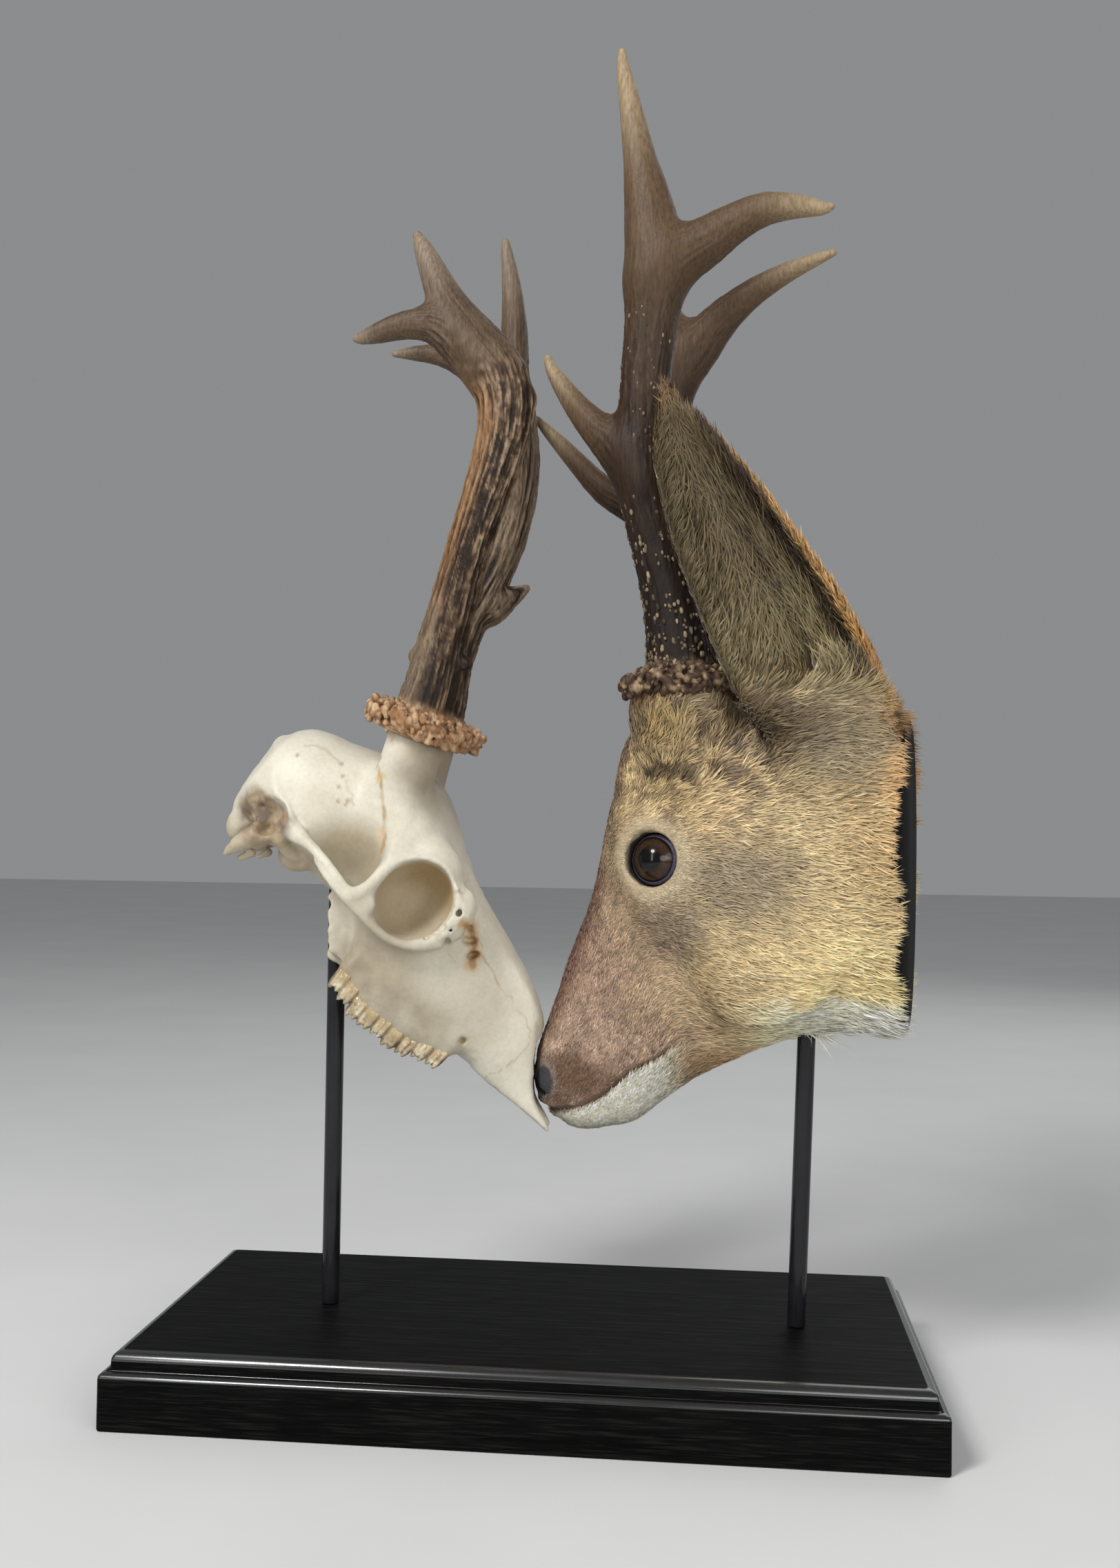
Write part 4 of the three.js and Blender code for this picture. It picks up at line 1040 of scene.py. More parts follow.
def coronet_steps(foot, axis, radius, height, fine, seed):
    """The burr: a low collar crowded with beads; `fine` makes the beads more and smaller."""
    random = np.random.default_rng(seed)
    u, v = across_axis(axis)
    collar = [[0, radius * 0.72], [height * 0.3, radius * 0.84], [height * 0.75, radius * 0.74], [height, radius * 0.5]]
    steps = [(1, cone(foot, axis, collar), 2)]
    for row, (count, share, rise, size) in enumerate(
        (
            (34, 0.88, 0.20, 1.8),
            (38, 0.95, 0.42, 1.8),
            (36, 0.96, 0.64, 1.8),
            (33, 0.86, 0.86, 1.7),
            (27, 0.72, 0.98, 1.6),
            (22, 0.58, 1.04, 1.5),
        )
    ):
        count = round(count * fine)
        for i in range(count):
            angle = (i + 0.5 * (row % 2) + random.uniform(-0.25, 0.25)) / count * 2 * math.pi
            out = radius * share * (1 + random.uniform(-0.07, 0.035))
            lift = height * rise + random.uniform(-1.1, 1.1)
            at = foot + axis * lift + (u * math.cos(angle) + v * math.sin(angle)) * out
            bead = size / fine**0.8 * random.uniform(0.6, 1.2)
            radii = (bead, bead * random.uniform(0.8, 1.2), bead * random.uniform(0.9, 1.5))
            steps.append((1, ball(at, radii, random.uniform(-0.5, 0.5)), 1.0))
    return steps


def along_centre(points, line):
    """For each point: the place along a centre line, the angle about it, and the distance from its skin."""
    gaps = np.linalg.norm(np.diff(line[:, :3], axis=0), axis=1)
    run = np.concatenate([[0], np.cumsum(gaps)])
    best = np.full(len(points), 1e9)
    place, angle = np.zeros(len(points)), np.zeros(len(points))
    for k, (a, b) in enumerate(zip(line[:-1], line[1:])):
        way = b[:3] - a[:3]
        t = np.clip((points - a[:3]) @ way / (way @ way), 0, 1)
        off = points - a[:3] - t[:, None] * way
        far = np.linalg.norm(off, axis=1) - (a[3] + t * (b[3] - a[3]))
        closer = far < best
        u, v = across_axis(way / np.linalg.norm(way))
        best = np.where(closer, far, best)
        place = np.where(closer, run[k] + t * gaps[k], place)
        angle = np.where(closer, np.arctan2(off @ v, off @ u), angle)
    return place, angle, best


def antler_coordinates(points, antler):
    """Place along the nearest branch, angle about it, share of that branch passed, its number, and how alone it is."""
    branches = [polyline(rows, 3) for rows in [antler["beam"], *antler["tines"]]]
    found = [along_centre(points, line) for line in branches]
    gaps = np.stack([f[2] for f in found])
    nearest = np.argmin(gaps, axis=0)
    pick = lambda k: np.choose(nearest, [f[k] for f in found])
    lengths = np.array([np.linalg.norm(np.diff(b[:, :3], axis=0), axis=1).sum() for b in branches])
    ordered = np.sort(gaps, axis=0)
    alone = smooth_step(0.5, 6, ordered[1] - ordered[0]) if len(gaps) > 1 else np.ones(len(points))
    return pick(0), pick(1), pick(0) / lengths[nearest], nearest, alone


def furrows(place, angle, count, seed):
    """Long ridges and grooves that wander along an antler, between -1 (groove) and 1 (ridge)."""
    turn = np.stack([np.cos(angle) * count / 2, np.sin(angle) * count / 2, place / 21], 1)
    wide = noise(turn, 1.0, seed)
    narrow = noise(turn * np.array([2.3, 2.3, 2.6]), 1.0, seed + 1)
    broken = noise(turn * np.array([3.6, 3.6, 9]), 1.0, seed + 2)
    return np.clip(wide * 0.8 + narrow * 0.65 + broken * 0.35, -1, 1)


def round_cube():
    """Points and quads of a small ball, two quads along each side of a cube."""
    found, quads = {}, []
    grid = np.tan(np.linspace(-math.pi / 4, math.pi / 4, 3))
    for axis in range(3):
        for side in (-1, 1):
            for i in range(2):
                for j in range(2):
                    corners = []
                    for a, b in ((i, j), (i + 1, j), (i + 1, j + 1), (i, j + 1)):
                        point = np.roll([side, grid[a] * side, grid[b]], axis)
                        key = tuple(np.round(point / np.linalg.norm(point), 5))
                        corners.append(found.setdefault(key, len(found)))
                    quads.append(corners)
    return np.array(list(found)), np.array(quads)


def with_pearls(points, faces, colours, pearls):
    """The mesh with a small drop-shaped bead of antler at each pearl's place."""
    ball_points, ball_faces = round_cube()
    all_points, all_faces, all_colours = [points], [faces], [colours]
    start = len(points)
    for at, size, out, axis, light in pearls:
        across = np.cross(out, axis)
        stretched = np.outer(ball_points @ out, out) * size[0]
        stretched += np.outer(ball_points @ axis, axis) * size[1] + np.outer(ball_points @ across, across) * size[2]
        lit = smooth_step(-0.1, 0.8, ball_points @ out)
        dark = np.tile([0.022, 0.013, 0.008], (len(ball_points), 1))
        all_points.append(at + stretched)
        all_faces.append(ball_faces + start)
        all_colours.append(tint(dark, np.array([0.42, 0.33, 0.22]) * light, lit))
        start += len(ball_points)
    return np.concatenate(all_points), np.concatenate(all_faces), np.concatenate(all_colours)


def make_antler(antler, coronet, voxel, colour_of, finish, groove, seed, pearls=(), to_world=None):
    """One antler as a single mesh: branches, knobs, burr, pearls, then furrows along its branches."""
    steps = [(1, chain(antler["beam"], 2), 0)]
    steps += [(1, chain(rows, 2), 9) for rows in antler["tines"]]
    steps += [(1, ball(knob[:3], (knob[3],) * 3), 3) for knob in antler["knobs"]]
    foot, axis = np.array(antler.get("foot", antler["beam"][0][:3]), float), antler_axis(antler["beam"])
    steps += coronet_steps(foot, axis, *coronet, seed)
    steps.append((-1, cone(foot - axis * 40, axis, [[0, 60], [40, 60]]), 0))
    rows = np.array([row for branch in [antler["beam"], *antler["tines"]] for row in branch])
    low = (rows[:, :3] - rows[:, 3:]).min(0) - 4
    high = (rows[:, :3] + rows[:, 3:]).max(0) + 4
    low = np.minimum(low, foot - 1.25 * coronet[0])
    high = np.maximum(high, foot + 1.25 * coronet[0])
    low[2] = foot[2] - coronet[0] * 0.8
    points, faces = surface(steps, low, high, voxel)
    faces = outward(points - points.mean(0), faces)
    points = relaxed(points, faces, 1)
    normal = normals_of(points, faces)
    place, angle, share, branch, alone = antler_coordinates(points, antler)
    lines = furrows(place, angle, 15, seed) * alone
    height = (points - foot) @ axis
    clear = smooth_step(coronet[1] * 0.9, coronet[1] * 1.5, height)
    depth = groove * clear * smooth_step(1.0, 0.55, share + 0.25 * (branch > 0))
    points = points + normal * (lines * depth - 0.3 * depth)[:, None]
    colours = colour_of(points, normal, height, lines, share, branch, clear)
    if pearls:
        points, faces, colours = with_pearls(points, faces, colours, pearls)
    placed = points if to_world is None else to_world(points)
    return mesh_object(antler["name"] + "_surface", placed, faces, finish, colours)


def skull_antler_colours(points, normal, height, lines, share, branch, clear):
    grain = layered(points, 3, 101)
    far = points[:, 1] > 0
    dark = np.tile([0.018, 0.011, 0.0065], (len(points), 1))
    colours = tint(dark, (0.125, 0.076, 0.043), smooth_step(-0.5, 0.5, lines + grain * 0.6))
    pale = smooth_step(0.05, 0.75, lines + grain * 0.6) * (0.35 + 0.5 * smooth_step(50, 130, height))
    colours = tint(colours, (0.36, 0.28, 0.20), pale)
    colours = tint(colours, (0.022, 0.013, 0.008), smooth_step(70, 30, height) * smooth_step(0.6, 0.1, lines) * 0.6)
    # Painted light: the flank that faces the key light (towards -x) is painted a lighter rust-tan at middle heights,
    # and lighter again near the burr.
    lit_flank = smooth_step(-0.05, 0.65, -normal[:, 0] + 0.25 * grain)
    lit_flank_tan = lit_flank * smooth_step(45, 85, height) * smooth_step(165, 140, height)
    colours = tint(colours, (0.30, 0.165, 0.075), lit_flank_tan * smooth_step(-0.8, 0.2, lines) * 0.75)
    colours = tint(colours, (0.24, 0.185, 0.13), lit_flank * smooth_step(70, 30, height) * 0.6)
    colours = tint(colours, (0.22, 0.165, 0.115), far * smooth_step(30, 80, height) * smooth_step(-0.8, 0.4, lines) * 0.75)
    tip = smooth_step(428, 462, points[:, 2] + 8 * grain)
    colours = tint(colours, (0.110, 0.075, 0.050), tip * (0.7 + 0.3 * smooth_step(-0.5, 0.5, lines)))
    colours = tint(colours, (0.30, 0.245, 0.19), smooth_step(0.8, 1.0, share) * 0.7)
    beads = tint(np.tile([0.30, 0.155, 0.070], (len(points), 1)), (0.60, 0.43, 0.27), smooth_step(-0.4, 0.5, grain))
    beads = tint(beads, (0.11, 0.055, 0.026), smooth_step(0.1, 0.8, layered(points, 1.6, 102)) * 0.7)
    return colours + (beads - colours) * (1 - clear)[:, None]


def antler_finish(name):
    finish = Finish(name, Roughness=0.6, Specular_IOR_Level=0.22)
    fibre = finish.cloud(1.0, 5.0, 0.6, finish.stretched((900, 900, 160)))
    fine = finish.cloud(1400.0, 4.0, 0.6)
    streaked = finish.ramp(fibre, (0.32, (0.55, 0.52, 0.48)), (0.66, (1.2, 1.12, 1.02)))
    finish.link(finish.blended("MULTIPLY", 0.85, finish.painted(), streaked), "Base Color")
    finish.link(finish.ramp(fine, (0.3, 0.38), (0.7, 0.62)), "Roughness")
    broad = finish.bump(fibre, 0.5, 0.0006)
    finish.link(finish.bump(fine, 0.3, 0.0002, broad), "Normal")
    return finish.made


def make_skull_antlers():
    finish = antler_finish("antler_weathered")
    for seed, antler in enumerate(SKULL_ANTLERS, 5):
        piece = make_antler(antler, (24.5, 11.5, 1.0), 0.64, skull_antler_colours, finish, 0.85, seed)
        name = antler["name"]
        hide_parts(name + "_coronet", name + "_beam", name + "_top_tine", name + "_back_tine")


# ---- Stuffed head -------------------------------------------------------------------------------------------------

# In the head's own frame x runs backward, y to the animal's right, z up, and the origin is under the rod's hole.
HEAD_AT = np.array([115.0, -7.0, 0.0])
HEAD_YAW = math.radians(-10)
NECK_CUT = 47.3
NECK_LEAN = 0.035  # the cut of the neck leans back by this much for each millimetre across
EYE = np.array([-57.0, 24.5, 233.5])
EYE_AXIS = np.array([-0.28, 1.0, 0.06]) / math.sqrt(0.28**2 + 1 + 0.06**2)
EYE_RADIUS = 13.0
MOUTH = [(-117, 121), (-109, 119.5), (-97, 121.5), (-85, 128), (-73, 139), (-60, 146), (-52, 153)]

# Sections of head and neck, each from its upper to its lower end: [order, x, z, x, z, half width].
HEAD_ROWS = [
    [0, -119.5, 140, -117, 122, 9],
    [1, -117.6, 150, -108, 115.5, 15],
    [2, -113.4, 162, -91, 113.5, 17.5],
    [3, -109, 175, -75, 114.5, 19],
    [4, -104.5, 189, -60, 125, 21.5],
    [5, -98.5, 204, -45, 136, 26],
    [6, -92.5, 221, -28, 145, 32],
    [7, -88.5, 241, -12, 152, 38],
    [8, -84, 263, 4, 157, 42],
    [9, -77.5, 288, 17, 158.5, 43],
    [10, -60, 305, 28, 158.5, 43],
    [11, -18, 303, 36, 157.5, 44],
    [12, 18, 302, 42, 157.5, 45.5],
    [13, 47.5, 300, 47.5, 157.5, 47],
    [14, 70, 298, 56, 157.5, 47],
]
# Sections of an ear, square to its length: [order, x, z, sideways place, half width].
EAR_ROWS = [
    [0, 22, 268, 24, 12],
    [1, 17, 286, 31, 22],
    [2, 9, 304, 38, 28.5],
    [3, 0, 324, 44, 29.5],
    [4, -11, 345, 49, 27.5],
    [5, -22.5, 366, 53, 24.5],
    [6, -33.5, 387, 56, 20],
    [7, -42.5, 406, 57.5, 14.5],
    [8, -48.5, 421, 58, 7.5],
    [9, -51.5, 431, 58, 2],
]
EAR_WIDE = np.array([0.9, 0.0, 0.42]) / math.hypot(0.9, 0.42)
EAR_UP = np.array([-0.42, 0.0, 0.9]) / math.hypot(0.9, 0.42)


def turned_z(points, angle):
    cos, sin = math.cos(angle), math.sin(angle)
    x, y, z = np.asarray(points, float).T
    return np.stack([x * cos - y * sin, x * sin + y * cos, z], 1)


def head_world(points):
    return HEAD_AT + turned_z(points, HEAD_YAW)


class HeadMap:
    """For a place (x, z) of the head's side view: which section it lies in and how high up that section."""

    STEP = 1.0
    LOW = np.array([-135.0, 95.0])
    HIGH = np.array([75.0, 325.0])

    def __init__(self):
        _, rows = smooth_table(HEAD_ROWS, 0.1)
        self.orders = np.linspace(0, HEAD_ROWS[-1][0], len(rows))
        top, bottom = rows[:, 0:2], rows[:, 2:4]
        gx = np.arange(self.LOW[0], self.HIGH[0], self.STEP)
        gz = np.arange(self.LOW[1], self.HIGH[1], self.STEP)
        places = np.stack(np.meshgrid(gx, gz, indexing="ij"), -1)
        order = np.zeros(places.shape[:2])
        beyond = np.zeros(places.shape[:2])
        last = None
        span = top - bottom
        length = np.linalg.norm(span, axis=1)
        found = np.zeros(places.shape[:2], bool)
        for k in range(len(rows)):
            off = places - bottom[k]
            side = (span[k, 0] * off[..., 1] - span[k, 1] * off[..., 0]) / length[k]
            if k == 0:
                front = side > 0
                beyond = np.where(front, side, 0)
                found |= front
            else:
                crossed = ~found & (side > 0) & (last <= 0)
                share = last / (last - side + 1e-9)
                order = np.where(crossed, self.orders[k - 1] + share * (self.orders[k] - self.orders[k - 1]), order)
                found |= crossed
            last = side
        order = np.where(found, order, self.orders[-1])
        at = [np.interp(order, self.orders, rows[:, c]) for c in range(5)]
        rise = (places[..., 0] - at[2]) * (at[0] - at[2]) + (places[..., 1] - at[3]) * (at[1] - at[3])
        square = (at[0] - at[2]) ** 2 + (at[1] - at[3]) ** 2
        up = 2 * rise / square - 1
        self.maps = np.stack([order, up, at[4], np.sqrt(square) / 2, beyond], -1).astype(np.float32)

    def at(self, x, z):
        """Order, height in the section (-1 to 1), half width, half height and distance before the lips."""
        fx = np.clip((x - self.LOW[0]) / self.STEP, 0, self.maps.shape[0] - 1.001)
        fz = np.clip((z - self.LOW[1]) / self.STEP, 0, self.maps.shape[1] - 1.001)
        i, k = fx.astype(np.int32), fz.astype(np.int32)
        tx, tz = (fx - i)[..., None], (fz - k)[..., None]
        m = self.maps
        low = m[i, k] * (1 - tx) + m[i + 1, k] * tx
        high = m[i, k + 1] * (1 - tx) + m[i + 1, k + 1] * tx
        return np.moveaxis(low * (1 - tz) + high * tz, -1, 0)


HEAD_MAP = HeadMap()


def coat_depth(x, z):
    """How far the skin lies inside the coat."""
    back = smooth_step(-95, 30, x)
    return 0.7 + 2.6 * back + 0.8 * smooth_step(10, 45, x) * smooth_step(200, 170, z)


def head_hull(x, y, z):
    order, up, wide, high, beyond = HEAD_MAP.at(x, z)
    power = 2.25
    wide = wide * (0.93 + 0.07 * np.clip(up, -1, 1))
    u, v = np.abs(y) / wide + 1e-5, np.abs(up) + 1e-5
    r = (u**power + v**power) ** (1 / power)
    steep = r ** (1 - power) * np.sqrt((u ** (power - 1) / wide) ** 2 + (v ** (power - 1) / high) ** 2)
    across = (r - 1) / steep
    d = np.where(beyond > 0, np.sqrt(np.maximum(across, 0) ** 2 + beyond**2), across)
    return d + coat_depth(x, z)


def ear_leaf(out, shrink, deep, start=0.0):
    """One ear as a leaf with oval sections; `out` moves it outward and `shrink` takes it in at the edges."""
    _, rows = smooth_table(EAR_ROWS, 0.1)
    heights = rows[:, 0] * EAR_UP[0] + rows[:, 1] * EAR_UP[2]
    middles = rows[:, 0] * EAR_WIDE[0] + rows[:, 1] * EAR_WIDE[2]

    def shape(x, y, z):
        q = x * EAR_UP[0] + z * EAR_UP[2]
        a = x * EAR_WIDE[0] + z * EAR_WIDE[2]
        inside = np.clip(q, heights[0] + start, heights[-1])
        middle = np.interp(inside, heights, middles)
        across = np.interp(inside, heights, rows[:, 2]) + out
        half = np.interp(inside, heights, rows[:, 3])
        wide = np.maximum(half - shrink, 0.5)
        thick = np.maximum(half * deep, 0.9)
        u, v = (a - middle) / wide, (y - across) / thick
        k0 = np.sqrt(u * u + v * v) + 1e-5
        k1 = np.sqrt((u / wide) ** 2 + (v / thick) ** 2) + 1e-6
        d = k0 * (k0 - 1) / k1
        past = np.abs(q - inside)
        return np.where(past > 0, np.sqrt(np.maximum(d, 0) ** 2 + past**2), d)

    return shape


def skin_steps():
    steps = []
    add = lambda shape, blend=0.0: steps.append((1, mirrored(shape), blend))
    cut = lambda shape, blend=0.0: steps.append((-1, mirrored(shape), blend))
    add(head_hull)
    add(ball((-112.5, 0, 133.5), (7.6, 11.5, 9)), 4)  # nose
    add(ball((-92, 0, 119), (15, 10.5, 7.5), -0.25), 4)  # chin
    add(ball((-14, 30, 196), (27, 8, 30), 0.3), 14)  # jaw muscle
    add(ball((-61, 26.5, 236), (16.5, 9, 17)), 7)  # brow and lids
    add(ball((-66, 24, 252), (12, 9, 8)), 8)
    cut(ball((-82, 33, 213), (13, 9, 8), 0.9), 9)  # hollow before the eye
    cut(ball((-62, 37.5, 186), (20, 11, 14), 0.7), 12)  # hollow of the cheek
    add(chain([[-43, 18.5, 263, 19.8], [-48.5, 24.5, 284, 20.5], [-49.8, 28, 298, 20.5]], 2), 8)  # pedicle
    add(ball((12, 26, 280), (23, 16, 22)), 12)  # root of the ear
    add(ear_leaf(0, 1.2, 0.44), 6)
    cut(ear_leaf(8.5, 3.2, 0.60, 42), 1.5)
    cut(ball(EYE, (EYE_RADIUS + 0.2,) * 3), 0)
    cut(cone(EYE, EYE_AXIS, [[0, 11.5], [9, 11.6], [30, 16]]), 1.0)
    add(ring(EYE + EYE_AXIS * 6.6, EYE_AXIS, (12.0, 12.5), 0.7, lambda angle: 0.6 * np.cos(2 * angle)), 1.2)
    cut(ball(EYE, (EYE_RADIUS + 0.05,) * 3), 0)
    cut(ball((-115.5, 7.6, 131.5), (3.4, 2.6, 4.6), 0.3), 1.2)  # nostril
    cut(ball((-113, 9.2, 128), (3, 2.2, 2.6)), 1.2)
    steps.append((-1, cone((NECK_CUT - 6.2, 0, 0), (1, -NECK_LEAN, 0), [[0, 400], [100, 400]]), 0))
    lean = math.radians(1.6)
    rod_axis = turned_z([[math.sin(lean), 0, math.cos(lean)]], -HEAD_YAW)[0]
    rod_foot = turned_z([[-0.2, -0.3, 31]], -HEAD_YAW)[0]
    steps.append((-1, cone(rod_foot, rod_axis, [[0, 4.2], [195, 4.2]]), 0))
    return steps


def before_cut(local):
    """Distance before the leaning cut of the neck."""
    return NECK_CUT + NECK_LEAN * local[:, 1] - local[:, 0]


def soft_spot(x, z, centre, radii):
    return smooth_step(1.25, 0.25, np.hypot((x - centre[0]) / radii[0], (z - centre[1]) / radii[1]))


def ear_place(local):
    """Whether a point belongs to an ear, how far up it (0 to 1), and how far across it (-1 front to 1 back)."""
    _, rows = smooth_table(EAR_ROWS, 0.1)
    heights = rows[:, 0] * EAR_UP[0] + rows[:, 1] * EAR_UP[2]
    middles = rows[:, 0] * EAR_WIDE[0] + rows[:, 1] * EAR_WIDE[2]
    q, a = local @ EAR_UP, local @ EAR_WIDE
    share = (q - heights[0]) / (heights[-1] - heights[0])
    across = (a - np.interp(q, heights, middles)) / np.maximum(np.interp(q, heights, rows[:, 3]), 1.0)
    side = np.abs(local[:, 1]) - np.interp(q, heights, rows[:, 2])
    on_ear = smooth_step(300, 312, local[:, 2]) * smooth_step(14, 22, np.abs(local[:, 1]))
    return on_ear, share, across, side


def coat_colours(local, normal):
    """The coat's markings at points of the head's frame, with painted shade inside the ears."""
    x, y, z = local.T
    side = np.abs(y)
    patch = local + np.stack([layered(local, 11, 201), layered(local, 11, 202), layered(local, 11, 203)], 1) * 8
    px, pz = patch[:, 0], patch[:, 2]
    order, up, _, high, _ = HEAD_MAP.at(x, z)
    from_top = (1 - up) * high
    grain = layered(local, 9, 204)
    colours = np.tile([0.60, 0.465, 0.25], (len(x), 1))
    colours = tint(colours, (0.76, 0.61, 0.33), smooth_step(210, 170, pz) * smooth_step(-50, -15, px) * 0.85)
    colours = tint(colours, (0.54, 0.375, 0.175), smooth_step(5, 30, px) * smooth_step(205, 240, pz) * 0.8)
    colours = tint(colours, (0.92, 0.73, 0.38), soft_spot(px, pz, (24, 186), (36, 30)) * 0.7)
    colours = tint(colours, (0.28, 0.225, 0.14), soft_spot(px, pz, (14, 286), (36, 29)) * 0.85)
    colours = tint(colours, (0.20, 0.155, 0.108), soft_spot(px, pz, (-27, 228), (32, 25)) * 0.75)
    colours = tint(colours, (0.60, 0.44, 0.235), soft_spot(px, pz, (-42, 266), (42, 30)) * 0.85)
    colours = tint(colours, (0.20, 0.160, 0.120), soft_spot(px, pz, (-54, 204), (20, 18)) * 0.75)
    colours = tint(colours, (0.36, 0.27, 0.16), soft_spot(px, pz, (-30, 178), (30, 18)) * 0.35)
    crown = soft_spot(px, pz, (-40, 276), (48, 34))
    mottle = smooth_step(-0.08, 0.26, layered(local, 5.5, 207))
    colours = tint(colours, (0.088, 0.054, 0.031), crown * (0.05 + 0.93 * mottle) * 0.86)
    under_burr = smooth_step(272, 296, pz + 6 * grain) * smooth_step(6, -14, px)
    colours = tint(colours, (0.105, 0.062, 0.036), under_burr * 0.45)
    behind_burr = soft_spot(px, pz, (-14, 288), (26, 20))
    colours = tint(colours, (0.115, 0.078, 0.050), behind_burr * (0.55 + 0.35 * mottle))
    edge = smooth_step(14, 3, from_top) * smooth_step(252, 268, pz) * smooth_step(-50, -62, px)
    colours = tint(colours, (0.115, 0.066, 0.036), edge * (0.5 + 0.4 * mottle))
    front = smooth_step(11, 2, from_top) * smooth_step(215, 245, pz) * smooth_step(-40, -60, px)
    colours = tint(colours, (0.27, 0.15, 0.075), front * 0.8)
    colours = tint(colours, (0.50, 0.36, 0.16), soft_spot(px, pz, (-53, 287), (14, 11)) * (0.45 + 0.5 * (1 - mottle)))
    muzzle = smooth_step(-24, -88, px + (pz - 180) * 0.42 + 9 * grain)
    low = smooth_step(190, 150, pz)
    side_colour = np.array([0.36, 0.235, 0.175]) + low[:, None] * np.array([0.09, 0.075, 0.06])
    colours = colours + (side_colour - colours) * (muzzle * 0.92)[:, None]
    ridge = smooth_step(17, 3, from_top + 3 * grain) * smooth_step(240, 222, pz)
    colours = tint(colours, (0.19, 0.092, 0.060), ridge * smooth_step(148, 165, pz) * 0.9)
    tip = soft_spot(px, pz, (-99, 134), (27, 14))
    colours = tint(colours, (0.17, 0.095, 0.055), tip * 0.95)
    lively = 0.18 + 0.5 * np.maximum(soft_spot(px, pz, (-45, 275), (45, 40)), muzzle * 0.45 * (1 - 0.7 * tip))
    flecks = layered(local, 2.6, 206)
    colours = colours * (1 + lively * flecks * 1.5)[:, None]
    eye_far = np.linalg.norm(np.stack([x - EYE[0] + 3, side - 36, z - EYE[2]], 1), axis=1)
    colours = tint(colours, (0.56, 0.46, 0.31), smooth_step(22, 14.5, eye_far) * 0.75)
    jaw = near_signed(x, z, MOUTH)
    chin = smooth_step(-0.5, -3, jaw) * smooth_step(-40, -62, x)
    colours = tint(colours, (0.97, 0.95, 0.78), chin * 0.97)
    colours = tint(colours, (0.45, 0.29, 0.14), smooth_step(-66, -44, x) * smooth_step(-1, -4, jaw) * smooth_step(-20, -40, x) * 0.7)
    throat = smooth_step(180, 166, pz + 4 * grain) * smooth_step(-34, 4, x)
    colours = tint(colours, (1.0, 0.97, 0.74), throat * 0.95)
    colours = tint(colours, (1.0, 0.99, 0.82), soft_spot(px, pz, (38, 163), (34, 15)) * 0.95)
    nape = smooth_step(28, 44, px) * smooth_step(232, 262, pz)
    colours = tint(colours, (0.62, 0.33, 0.12), nape * 0.8)
    rim = smooth_step(12.2, 11.7, eye_far_from_axis(local) + 0.3 * noise(local, 3, 205))
    colours = tint(colours, (0.020, 0.014, 0.012), rim)
    line = smooth_step(1.3, 0.4, near_path(np.stack([x, z], 1), MOUTH)) * smooth_step(-50, -58, x)
    colours = tint(colours, (0.075, 0.042, 0.026), line * 0.7)
    pad = nose_pad(local)
    colours = tint(colours, (0.014, 0.014, 0.016), pad)
    nostril = np.hypot((x + 112.5) / 4.4, (z - 133) / 7.4)
    on_side = smooth_step(5, 8, side)
    colours = tint(colours, (0.30, 0.23, 0.19), smooth_step(1.45, 1.15, nostril) * on_side * 0.8)
    colours = tint(colours, (0.050, 0.050, 0.058), smooth_step(1.08, 0.9, nostril) * on_side)
    on_ear, share, across, depth = ear_place(local)
    blotch = layered(local, 12, 211)
    outer = np.tile([0.33, 0.205, 0.090], (len(x), 1))
    outer = tint(outer, (0.55, 0.285, 0.085), smooth_step(0.3, 0.95, across))
    outer = tint(outer, (0.10, 0.062, 0.034), smooth_step(0.86, 0.97, share))
    outer = tint(outer, (0.50, 0.44, 0.32), smooth_step(-0.7, -0.95, across) * smooth_step(0.9, 0.8, share) * 0.8)
    inner = np.tile([0.265, 0.212, 0.105], (len(x), 1))
    inner = tint(inner, (0.40, 0.33, 0.185), smooth_step(0.0, 0.7, blotch) * smooth_step(0.8, 0.5, share) * 0.8)
    # Painted shade: the inside of the ear darkens towards the top, partly the hair's own colour and partly painted
    # shade of the hollow.
    inner = tint(inner, (0.110, 0.075, 0.035), smooth_step(0.22, 0.62, share + 0.2 * blotch) * 0.8)
    inner = tint(inner, (0.20, 0.155, 0.10), smooth_step(-0.1, -0.7, blotch) * smooth_step(0.62, 0.2, share) * 0.6)
    # Painted shade: dark lines along the fold inside the ear and along the inner edge of its rim.
    crease = np.abs(across - 0.12 - 0.25 * share + 0.04 * blotch)
    inner = tint(inner, (0.060, 0.040, 0.022), smooth_step(0.11, 0.03, crease) * smooth_step(0.92, 0.6, share) * 0.75)
    inner = tint(inner, (0.045, 0.026, 0.014), smooth_step(0.12, 0.05, np.abs(across - 0.77)) * 0.92)
    inner = tint(inner, (0.56, 0.315, 0.105), smooth_step(0.83, 0.9, across))
    inner = tint(inner, (0.22, 0.12, 0.05), smooth_step(0.9, 0.97, share) * 0.8)
    inside = smooth_step(0.05, 0.5, normal[:, 1] * np.sign(y)) * smooth_step(0.99, 0.93, np.abs(across))
    ear = outer + (inner - outer) * inside[:, None]
    return colours + (ear - colours) * on_ear[:, None]


def near_signed(x, z, path):
    """Height above a broken line that runs along x."""
    at = np.array(path, float)
    return z - np.interp(x, at[:, 0], at[:, 1])


def eye_far_from_axis(local):
    off = np.stack([local[:, 0], np.abs(local[:, 1]), local[:, 2]], 1) - EYE
    along = off @ EYE_AXIS
    away = np.linalg.norm(off - along[:, None] * EYE_AXIS, axis=1)
    return np.where(along > 2, away, 99)


def nose_far(local):
    x, y, z = local.T
    return np.hypot((x + 119) / 10.6, np.hypot(np.abs(y) / 20, (z - 131.5) / 10.5))


def nose_pad(local):
    return smooth_step(1.08, 0.94, nose_far(local))


